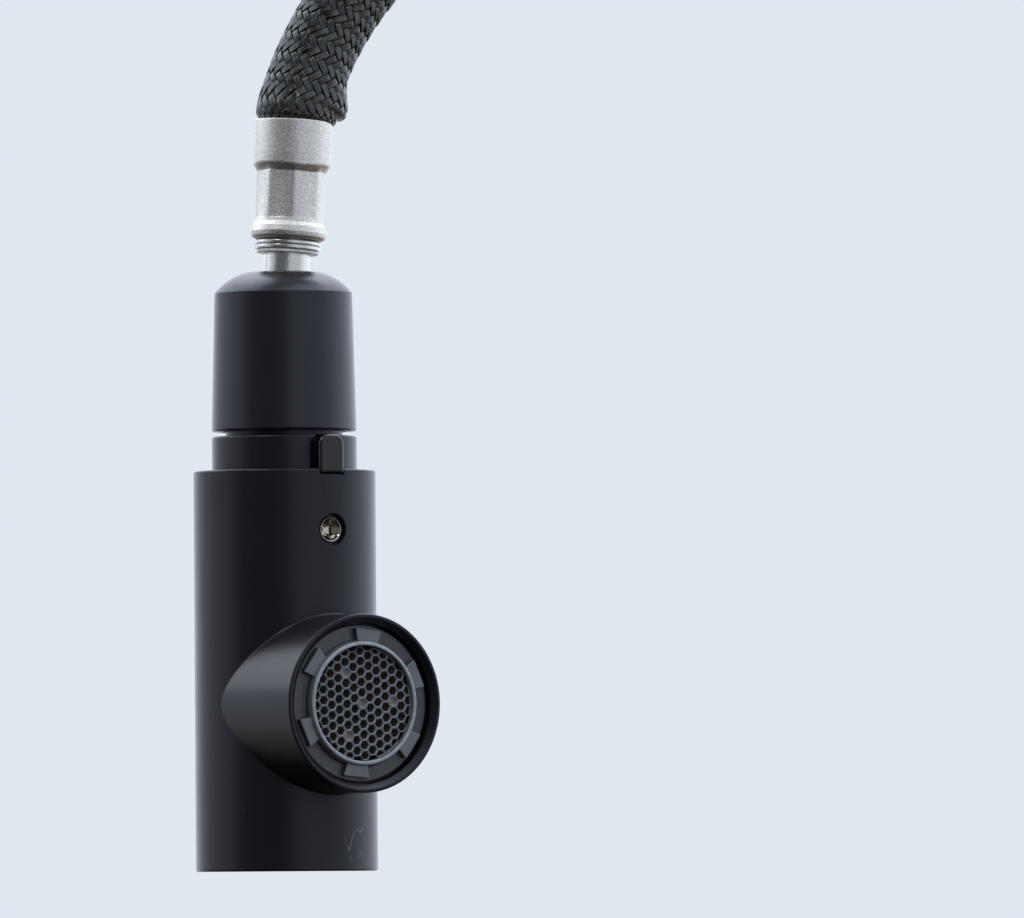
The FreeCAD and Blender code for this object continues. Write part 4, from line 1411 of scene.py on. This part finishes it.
    def _top(self) -> Patch:
        """The rounded rim with its notch, the recess, the socket's wall and its floor.

        Inside the notch the bearings are turned so that its sides stay parallel, and the
        heights are held down to its floor.

        Returns:
            The patch.
        """
        bend = np.linspace(0.0, math.pi / 2.0, 5)
        r, h, e, lip = self.radius, self.height, self.edge, 0.15
        level = np.concatenate([
            np.column_stack([r - e + e * np.cos(bend), h - e + e * np.sin(bend)]),
            [(r - e - HOLD, h), (self.recess_radius + lip + HOLD, h)],
            np.column_stack([self.recess_radius + lip * (1 - np.sin(bend)),
                             h - lip * (1 - np.cos(bend))]),
            [(self.recess_radius, self.recess_floor), (self.socket_radius, self.recess_floor),
             (self.socket_radius, self.socket_floor), (0.0, self.socket_floor)]])
        radius, height = level[:, :1], np.repeat(level[:, 1:], len(self.bearing), 1)
        inside = (np.abs(self.bearing) < self._notch_bearing())[None] & (radius > 11.0)
        height = np.where(inside, np.minimum(height, self.notch_floor), height)
        height[-4] = self.recess_floor
        front = np.abs(self.bearing) < 1.0
        straight = np.arcsin(np.clip(r * np.sin(self.bearing) * front / np.maximum(radius, 11.0),
                                     -1.0, 1.0))
        weight = (1.0 - smooth((np.abs(self.bearing) - 0.25) / 0.5)) * front
        bearing = self.bearing + (straight - self.bearing) * weight
        return skin(self._on_body(bearing, height, radius))

    def _foot(self) -> Patch:
        """The rounded lower edge and the flat base."""
        bend = np.linspace(0.0, math.pi / 2.0, 5)
        r, e = self.radius, self.edge
        level = np.concatenate([
            np.column_stack([r - e + e * np.cos(bend), e - e * np.sin(bend)]),
            [(r - e - HOLD, 0.0), (0.0, 0.0)]])
        return skin(self._on_body(self.bearing[None], level[:, 1:], level[:, :1]))

    def _joint(self, turn: Array) -> Patch:
        """The hollow joint: the rolling ball's arc from the branch round to the body.

        Args:
            turn: the angles round the branch.

        Returns:
            The patch.
        """
        centre = self._joint_centre(turn)
        to_branch = np.stack([-np.cos(turn), 0.0 * turn, -np.sin(turn)], axis=-1)
        to_body = -centre * (1.0, 1.0, 0.0) / (self.radius + self.joint)
        angle = np.arccos((to_branch * to_body).sum(-1))[None, :, None]
        t = np.linspace(0.0, 1.0, 7)[:, None, None]
        ray = (np.sin((1.0 - t) * angle) * to_branch + np.sin(t * angle) * to_body) / np.sin(angle)
        return skin(centre[None] + self.joint * ray, False, True)

    def _branch(self, turn: Array) -> Patch:
        """The outlet branch: its outside, rounded mouth and the steps of its bore.

        Args:
            turn: the angles round the branch.

        Returns:
            The patch.
        """
        e, face, r = self.edge, self.outlet_reach, self.outlet_radius
        start = -self._joint_centre(turn)[:, 1]
        share = np.array([0.0, 0.01, 0.04, 0.12, 0.3, 0.55, 0.8, 0.96, 0.99])[:, None]
        wall = start[None] * (1.0 - share) + (face - e) * share
        inside = outline([(r, face - e - 0.01), (r, face, e), (13.1, face, 0.12),
                          (12.3, face - 0.75, 0.12), (12.3, 20.3),
                          (12.05, 20.3), (12.05, 11.0), (8.5, 11.0), (8.5, 9.0), (0.0, 9.0)],
                         closed=False, segments=5)
        depth = np.concatenate([wall, np.repeat(inside[1:, 1:], len(turn), 1)])
        radius = np.r_[np.full(len(share), r), inside[1:, 0]][:, None]
        grid = np.stack([radius * np.cos(turn), radius * np.sin(turn), depth], axis=-1)
        return skin(outlet_at(self.outlet_height).put(grid), False, True)

    def _screw_hole(self, turn: Array) -> Patch:
        """The recess of the screw: from the body's curved surface in to a flat floor.

        Args:
            turn: the angles round the hole.

        Returns:
            The patch.
        """
        def front(reach: float) -> Array:
            """How far out the body's surface is at that distance from the hole's axis."""
            return np.sqrt(self.radius ** 2 - (reach * np.cos(turn)) ** 2)

        hole, edge = self.screw_hole, self.screw_edge
        rows = [(hole + edge, front(hole + edge)),
                (hole + 0.3 * edge, front(hole + 0.3 * edge) - 0.3 * edge),
                (hole, front(hole) - edge)]
        rows += [(reach, np.full(len(turn), depth)) for reach, depth in
                 ((hole, 13.0), (hole, 12.9), (2.0, 12.9), (2.0, 10.1), (0.0, 10.1))]
        grid = np.stack([np.stack([reach * np.cos(turn), reach * np.sin(turn), depth], axis=-1)
                         for reach, depth in rows])
        return skin(outlet_at(self.screw_height).put(grid), False, True)


# --------------------------------------------------- collar, key, screw, cap


@dataclass
class Neck:
    """What stands on the body: the docking collar with its key, the grub screw and the cap."""

    ring_radius: float = 11.15
    ring_top: float = 66.8
    seat: float = 60.5
    key_half: float = 2.15
    key_floor: float = 60.75
    key_corner: float = 1.5
    key_root: float = 10.7
    key_front: float = 14.0
    cap_floor: float = 67.6
    crease_radius: float = 10.6
    crease: float = 88.9

    def build(self, maker: Maker) -> None:
        """Makes the four pieces.

        Args:
            maker: writes the pieces.
        """
        maker.piece("docking_collar_ring", [self._collar()], ["body_black"], Body.HEAD,
                    ["docking_collar"])
        maker.piece("docking_key_lug", [self._key()], ["key_black"], Body.HEAD, ["docking_key"])
        maker.piece("collar_grub_screw", [self._screw()], ["screw_steel"], Body.HEAD,
                    ["collar_set_screw"], "stainless_bright")
        maker.piece("swivel_cap_shell", [self._cap()], ["cap_black"], Body.HEAD, ["swivel_cap"])

    def _collar(self) -> Patch:
        """The collar: a turned line with its ring, neck, grooves and bore.

        Returns:
            The patch.
        """
        r, top, seat = self.ring_radius, self.ring_top, self.seat
        line = outline([
            (6.05, 49.5), (9.95, 49.5, 0.3), (9.95, 50.9), (9.1, 50.9), (9.1, 53.5),
            (9.95, 53.5), (9.95, 54.2), (8.45, 54.2), (8.45, 56.0), (9.95, 56.0), (9.95, 57.4),
            (8.45, 57.4), (8.45, 59.2), (9.95, 59.2), (9.95, seat), (r, seat, 0.15),
            (r, top, 0.3), (9.05, top, 0.15), (9.05, 77.0, 0.3), (5.0, 77.0), (5.0, 70.0),
            (6.05, 70.0)])
        return turned(line, HEAD, True, 120)

    def _key(self) -> Patch:
        """The key: an upright block with an arched top, its front edges well rounded."""
        rim = rounded_box(self.key_half, self.key_floor, self.ring_top,
                          (0.25, self.key_corner))
        return stacked(rim, edge_levels(self.key_root, self.key_front, 0.05, 0.5), outlet_at(0.0))

    def _screw(self) -> Patch:
        """The grub screw: a turned line that becomes a hexagon inside its socket.

        The hexagon's radius is half its width over the cosine of the angle from the middle of
        the nearest flat.

        Returns:
            The patch.
        """
        face, half = 13.3, 1.12
        line = np.array([
            (0.0, 9.3), (1.2, 9.3), (1.2, 10.0), (1.95, 10.55), (1.95, 13.0), (1.95, 13.08),
            (1.93, 13.16), (1.87, 13.25), (1.82, face), (1.80, face), (1.76, 13.28), (1.70, 13.20),
            (1.42, 12.84), (half, 12.62), (half, 12.55), (half, 11.0), (half * 0.94, 10.95),
            (0.0, 10.6)])

        def shape(radius: Array, height: Array, angle: Array) -> Array:
            """The radius, made a hexagon on the socket's rows."""
            flat = (angle + math.pi / 6.0) % (math.pi / 3.0) - math.pi / 6.0
            corner = 1.0 / np.cos(flat)
            row = np.arange(len(radius))[:, None]
            return np.where((row >= 13) & (row <= 16), radius * corner, radius)

        return turned(line, outlet_at(52.2), False, 72, shape)

    def _cap(self) -> Patch:
        """The cap: a slightly tapered wall, a crease, and a dome round the ball's mouth.

        The dome is an arc from 43 to 82 degrees off upright, scaled to its width and height.

        Returns:
            The patch.
        """
        r, h = self.crease_radius, self.crease
        bend = np.radians(np.linspace(43.0, 82.0, 12))
        inward = (math.cos(bend[0]) - np.cos(bend)) / (math.cos(bend[0]) - math.cos(bend[-1]))
        upward = (np.sin(bend) - math.sin(bend[0])) / (math.sin(bend[-1]) - math.sin(bend[0]))
        crown = np.column_stack([r - (r - 5.35) * inward, h + (92.15 - h) * upward])[1:]
        line = outline([
            (9.15, 68.1), (9.75, self.cap_floor), (self.ring_radius, self.cap_floor, 0.35),
            (r, h, 0.16), *crown, (5.2, 92.0), (5.2, 90.2), (6.2, 90.2),
            (8.65, 87.9), (8.65, 77.05), (9.15, 77.05)])
        return turned(line, HEAD, True, 128)


# ------------------------------------------------------------ hose fitting


@dataclass
class BallFitting:
    """The ball and its tube, the split clip, the washer and the crimped ferrule."""

    ball_height: float = 83.2
    lean: float = 3.9
    ball_radius: float = 6.4
    tube_radius: float = 3.475
    jaws: int = 8
    jaw_turn: float = -33.0 + 7.3

    def build(self, maker: Maker) -> None:
        """Makes the pieces on the fitting's leaning axis.

        Args:
            maker: writes the pieces.
        """
        self.place = leaning((0.0, 0.0, self.ball_height), self.lean)
        maker.piece("ball_fitting_tube", [self._ball()], ["stainless_bright"], Body.HOSE,
                    ["ball_fitting"])
        maker.piece("retaining_clip_ring", [self._clip()], ["stainless_bright"], Body.HOSE,
                    ["retaining_clip"])
        maker.piece("neck_washer_ring", [self._washer()], ["natural_nylon"], Body.HOSE,
                    ["neck_washer"])
        maker.piece("crimp_ferrule_sleeve", [self._ferrule()], ["stainless"], Body.HOSE,
                    ["crimp_ferrule"])

    def _ball(self) -> Patch:
        """The ball and tube: a circle's arc that runs into a straight tube, with a bore."""
        low = math.asin(-4.5 / self.ball_radius)
        high = math.acos(self.tube_radius / self.ball_radius)
        bend = np.linspace(low, high, 24)
        arc = np.column_stack([self.ball_radius * np.cos(bend), self.ball_radius * np.sin(bend)])
        rest = outline([tuple(arc[-1]), (self.tube_radius, 16.4), (3.3, 16.4), (3.3, 31.0, 0.2),
                        (2.4, 31.0), (2.4, -4.5), tuple(arc[0])], closed=False)
        return turned(np.concatenate([arc, rest[1:-1]]), self.place)

    def _clip(self) -> Patch:
        """The split clip: two stacked coils' section carried round all but 14 degrees."""
        section = outline([(3.5, 12.3), (5.0, 12.3, 0.2), (5.0, 12.98, 0.2), (4.9, 13.0),
                           (5.08, 13.02, 0.2), (5.08, 13.7, 0.2), (3.5, 13.7)], segments=3)
        angle = np.radians(np.linspace(157.0, 157.0 + 346.0, 97))
        ends = np.broadcast_to(section.mean(0), section.shape)
        radius = np.stack([ends[:, 0], *([section[:, 0]] * len(angle)), ends[:, 0]])
        height = np.stack([ends[:, 1], *([section[:, 1]] * len(angle)), ends[:, 1]])
        turn = np.r_[angle[0], angle, angle[-1]][:, None]
        grid = np.stack([radius * np.cos(turn), radius * np.sin(turn), height], axis=-1)
        return skin(self.place.put(grid), False, True)

    def _washer(self) -> Patch:
        """The washer: a flat ring with rounded edges."""
        return turned(outline([(3.5, 11.8, 0.1), (4.8, 11.8, 0.2), (4.8, 12.28, 0.2),
                               (3.5, 12.28, 0.1)]), self.place)

    def _ferrule(self) -> Patch:
        """The ferrule: a rolled bead, a waist pressed by eight jaws, and a wide skirt.

        The pressed waist is a polygon with soft corners. Its radius is the flat's distance over a
        sum of the cosines to all its flats, each raised to JAW_POWER and the sum's root of that
        power taken, and the pressing fades in and out along the waist.

        Returns:
            The patch.
        """
        line = outline([
            (3.5, 13.9), (5.05, 13.9, 0.35), (5.72, 14.25, 0.5), (5.90, 15.0, 0.6),
            (5.72, 15.9, 0.5), (5.32, 16.5, 0.35), (5.20, 17.2, 0.4), (5.20, 24.4, 0.35),
            (5.94, 25.45, 0.9), (6.0, 27.2, 1.2), (6.0, 32.3, 0.22),
            (5.45, 32.3, 0.15), (5.45, 25.1), (4.65, 24.0), (4.65, 16.7), (3.5, 16.7)],
            segments=5)

        def shape(radius: Array, height: Array, angle: Array) -> Array:
            """The radius with the jaws' flats and a slight lean of the skirt's step."""
            flats = (np.arange(self.jaws) + 0.5) * (TURN / self.jaws)
            off = angle[..., None] - math.radians(self.jaw_turn) - flats
            reach = (np.maximum(np.cos(off), 0.0) ** JAW_POWER).sum(-1) ** (1.0 / JAW_POWER)
            pressed = radius * (0.85 * 0.968 / reach + 0.15)
            fade = smooth((height - 16.9) / 1.4) * (1.0 - smooth((height - 24.2) / 1.1))
            wavy = 0.16 * np.sin(3.0 * angle + 0.8) * np.clip(1.0 - np.abs(height - 25.0) / 0.7, 0, 1)
            outside = radius > 5.1
            return np.where(outside, radius + (pressed - radius) * fade + wavy, radius)

        return turned(line, self.place, True, 160, shape)


# ------------------------------------------------------------------ aerator


@dataclass
class Aerator:
    """The screw-in aerator as it shows in the outlet: housing, lugs, lip and honeycomb."""

    height: float = 25.5
    lugs: int = 6
    lug_turn: float = 24.0
    lug_face: float = 22.1
    pitch: float = 1.6
    cell: float = 1.19
    cell_turn: float = 93.0
    rim: float = 8.65
    floor: float = 19.6
    face: float = 22.1
    plugged_radius: float = 5.54
    plugged_angles: tuple[float, ...] = (3.0, 123.0, 243.0)

    def build(self, maker: Maker) -> None:
        """Makes the housing with its lugs, and the honeycomb.

        Args:
            maker: writes the pieces.
        """
        maker.piece("aerator_housing_ring", [self._housing(), *self._lugs()], ["grey_plastic"],
                    Body.HEAD, ["aerator_housing"])
        maker.piece("aerator_honeycomb_face", self._honeycomb(), ["grey_plastic"],
                    Body.HEAD, ["aerator_honeycomb"])

    def _housing(self) -> Patch:
        """The housing: a flange and a raised lip, turned, with rounded edges."""
        line = outline([
            (8.75, 12.1), (12.0, 12.1, 0.3), (12.0, 21.2, 0.25), (9.75, 21.2, 0.2),
            (9.35, 22.75, 0.30), (8.86, 22.75, 0.18), (8.75, 22.0)], segments=5)
        return turned(line, outlet_at(self.height), True, 144)

    def _lugs(self) -> list[Patch]:
        """The six lugs: blocks set round the lip, a little wider outside than in."""
        rim = rounded_box(2.04, 9.25, 11.3, (0.12, 0.22), 0.21)
        patches = []
        for k in range(self.lugs):
            a = math.radians(self.lug_turn + 360.0 / self.lugs * k)
            out = (math.cos(a), 0.0, math.sin(a))
            side = (math.sin(a), 0.0, -math.cos(a))
            place = Place((0.0, 0.0, self.height), side, out, (0.0, -1.0, 0.0))
            patches.append(stacked(rim, edge_levels(21.0, self.lug_face, 0.05, 0.16), place))
        return patches

    def _honeycomb(self) -> list[Patch]:
        """The honeycomb: six-sided tubes side by side, and flat tiles where a cell is closed.

        Cell centres are whole steps along two directions 60 degrees apart. A tube's rows go up
        its outside, over its rounded rim and down its inside. Points past the rim circle are
        drawn back to it, so that cells at the edge are cut as the lip cuts them.

        Returns:
            The patches.
        """
        turn = math.radians(self.cell_turn)
        one = np.array([math.cos(turn), math.sin(turn)])
        two = np.array([math.cos(turn + math.pi / 3.0), math.sin(turn + math.pi / 3.0)])
        i, j = np.meshgrid(np.arange(-8, 9), np.arange(-8, 9))
        centres = (i.reshape(-1, 1) * one + j.reshape(-1, 1) * two) * self.pitch
        centres = centres[np.linalg.norm(centres, axis=1) < self.rim + 0.15]
        closed_at = np.array([(0.0, 0.0), *(
            (self.plugged_radius * math.cos(math.radians(a)),
             self.plugged_radius * math.sin(math.radians(a))) for a in self.plugged_angles)])
        gap = np.linalg.norm(centres[:, None] - closed_at[None], axis=2).min(1)
        outer, inner = self.pitch / math.sqrt(3.0) - 0.003, self.cell / math.sqrt(3.0)
        soft = outer - inner
        rows = np.array([
            (outer, self.floor), (outer, self.face - 0.05), (outer - 0.25 * soft, self.face),
            (outer - 0.55 * soft, self.face - 0.03), (inner + 0.12 * soft, self.face - 0.14),
            (inner, self.face - 0.30), (inner, self.face - 0.9), (inner, self.floor)])
        plug = np.array([
            (0.0, self.floor), (outer, self.floor), (outer, self.face - 0.05),
            (outer - 0.3 * soft, self.face), (inner * 0.9, self.face - 0.20),
            (inner * 0.5, self.face - 0.25), (0.0, self.face - 0.27)])
        angle = turn + math.pi / 6.0 + np.arange(6) * (math.pi / 3.0)
        ring = np.stack([np.cos(angle), np.sin(angle)], axis=-1)
        patches = []
        for spots, profile, wrap in ((centres[gap >= 0.6], rows, True),
                                     (centres[gap < 0.6], plug, False)):
            flat = spots[:, None, None, :] + profile[None, :, None, :1] * ring[None, None]
            reach = np.linalg.norm(flat, axis=-1, keepdims=True)
            limit = np.where(profile[:, 0] > inner + 0.3 * soft, self.rim, self.rim - 0.12)
            flat = flat * np.minimum(1.0, limit[None, :, None, None] / np.maximum(reach, 1e-6))
            height = np.broadcast_to(profile[None, :, None, 1:], (*flat.shape[:3], 1))
            grid = outlet_at(self.height).put(np.concatenate([flat, height], axis=-1))
            patches += [skin(tube, wrap, True) for tube in grid]
        return patches


# ----------------------------------------------------------- supply fitting


@dataclass
class SupplyFitting:
    """The crimped sleeve, nipple and union nut on the supply end of the hose."""

    origin: Triple = TAIL_ROUTE[-2]
    lean: float = -160.0
    flats: float = 18.0

    def build(self, maker: Maker) -> list[bpy.types.Object]:
        """Makes the fitting's pieces.

        Args:
            maker: writes the pieces.

        Returns:
            The pieces.
        """
        self.place = leaning(self.origin, self.lean)
        return [
            maker.piece("end_ferrule_sleeve", [self._sleeve()], ["stainless"], Body.HOSE,
                        ["end_ferrule"]),
            maker.piece("end_nipple_stem", [self._nipple()], ["nickel_brass"], Body.HOSE,
                        ["end_nipple"]),
            maker.piece("union_nut_shell", [self._nut()], ["nickel_brass"], Body.NUT,
                        ["union_nut"])]

    def _sleeve(self) -> Patch:
        """The sleeve: turned, with two shallow crimp grooves, a cosine dip in the radius."""
        line = outline([(6.3, 0.0), (7.1, 0.0, 0.3), (7.1, 16.2, 0.7), (6.5, 17.2, 0.3),
                        (4.6, 17.2), (4.6, 16.0), (6.3, 16.0)], segments=5)
        steps = np.linspace(1.2, 15.0, 50)
        wall = np.column_stack([np.full(50, 7.1), steps])
        first = int(np.argmax((line[:, 0] > 7.09) & (line[:, 1] > 1.0)))
        line = np.concatenate([line[:first], wall, line[first:][line[first:, 1] > 15.0],
                               [(4.6, 16.0), (6.3, 16.0)]])

        def shape(radius: Array, height: Array, angle: Array) -> Array:
            """The radius less two soft grooves round the sleeve."""
            dip = sum(np.where(np.abs(height - at) < 1.5,
                               np.cos((height - at) * math.pi / 3.0) ** 2, 0.0)
                      for at in (5.0, 11.0))
            return np.where(radius > 6.9, radius - 0.34 * dip, radius)

        return turned(line, self.place, True, 96, shape)

    def _nipple(self) -> Patch:
        """The nipple: a stem, a flange that holds the nut, and a bore."""
        return turned(outline([
            (2.4, 1.0), (3.3, 1.0, 0.2), (3.3, 16.0), (4.55, 16.0), (4.55, 24.0),
            (6.2, 24.0, 0.2), (6.2, 26.2, 0.2), (2.4, 26.2)]), self.place)

    def _nut(self) -> Patch:
        """The nut: a hexagon whose ends are chamfered by cones, with a threaded bore.

        Outside, the radius is the smaller of the hexagon's and the cone's at that height. In the
        bore it is the thread's mean radius plus a triangle wave of height over pitch less turn.

        Returns:
            The patch.
        """
        low, high, pitch = 20.0, 36.0, 1.0
        outside = np.column_stack([np.full(15, 12.0), np.r_[
            low, low + np.array([0.15, 0.35, 0.6, 0.9, 1.2, 1.6]), 28.0,
            high - np.array([1.6, 1.2, 0.9, 0.6, 0.35, 0.15]), high]])
        thread = np.column_stack([np.full(61, 7.0), np.linspace(high - 0.35, 28.55, 61)])
        line = np.concatenate([outside, [(7.55, high)], thread,
                               [(7.25, 28.5), (7.25, 23.6), (4.75, 23.6), (4.75, low)]])
        kind = np.r_[np.ones(15), 0, np.full(61, 2.0), np.zeros(4)][:, None]

        def shape(radius: Array, height: Array, angle: Array) -> Array:
            """The radius as a hexagon outside and a thread inside."""
            flat = angle % (math.pi / 3.0) - math.pi / 6.0
            hexagon = self.flats / 2.0 / np.cos(flat)
            end = np.minimum(height - low, high - height)
            cone = self.flats / 2.0 + 0.25 + end * 1.7
            wave = np.abs(((height / pitch - angle / TURN) % 1.0) - 0.5) * 2.0
            fade = smooth((height - 28.55) / 0.8) * smooth((high - 0.35 - height) / 0.5)
            cut = radius + 0.35 * (wave * fade)
            return np.where(kind == 1, np.minimum(hexagon, cone), np.where(kind == 2, cut, radius))

        return turned(line, self.place, True, 120, shape)


# ---------------------------------------------------------------------- main


def main() -> None:
    """Builds the studio, the cord and every sub-assembly, in that order."""
    logging.basicConfig(level=logging.INFO, format="%(name)s %(message)s")
    finishes = Finishes()
    maker = Maker(finishes)
    Studio().build(finishes)
    hose = Hose()
    tube = hose.build(maker)
    hose.declare(SupplyFitting().build(maker) + [frame["nodes"]["end_gasket"]])
    SprayBody().build(maker)
    Neck().build(maker)
    BallFitting().build(maker)
    Aerator().build(maker)
    maker.dress_nodes()
    maker.squeeze_spring()


if __name__ == "__main__":
    main()
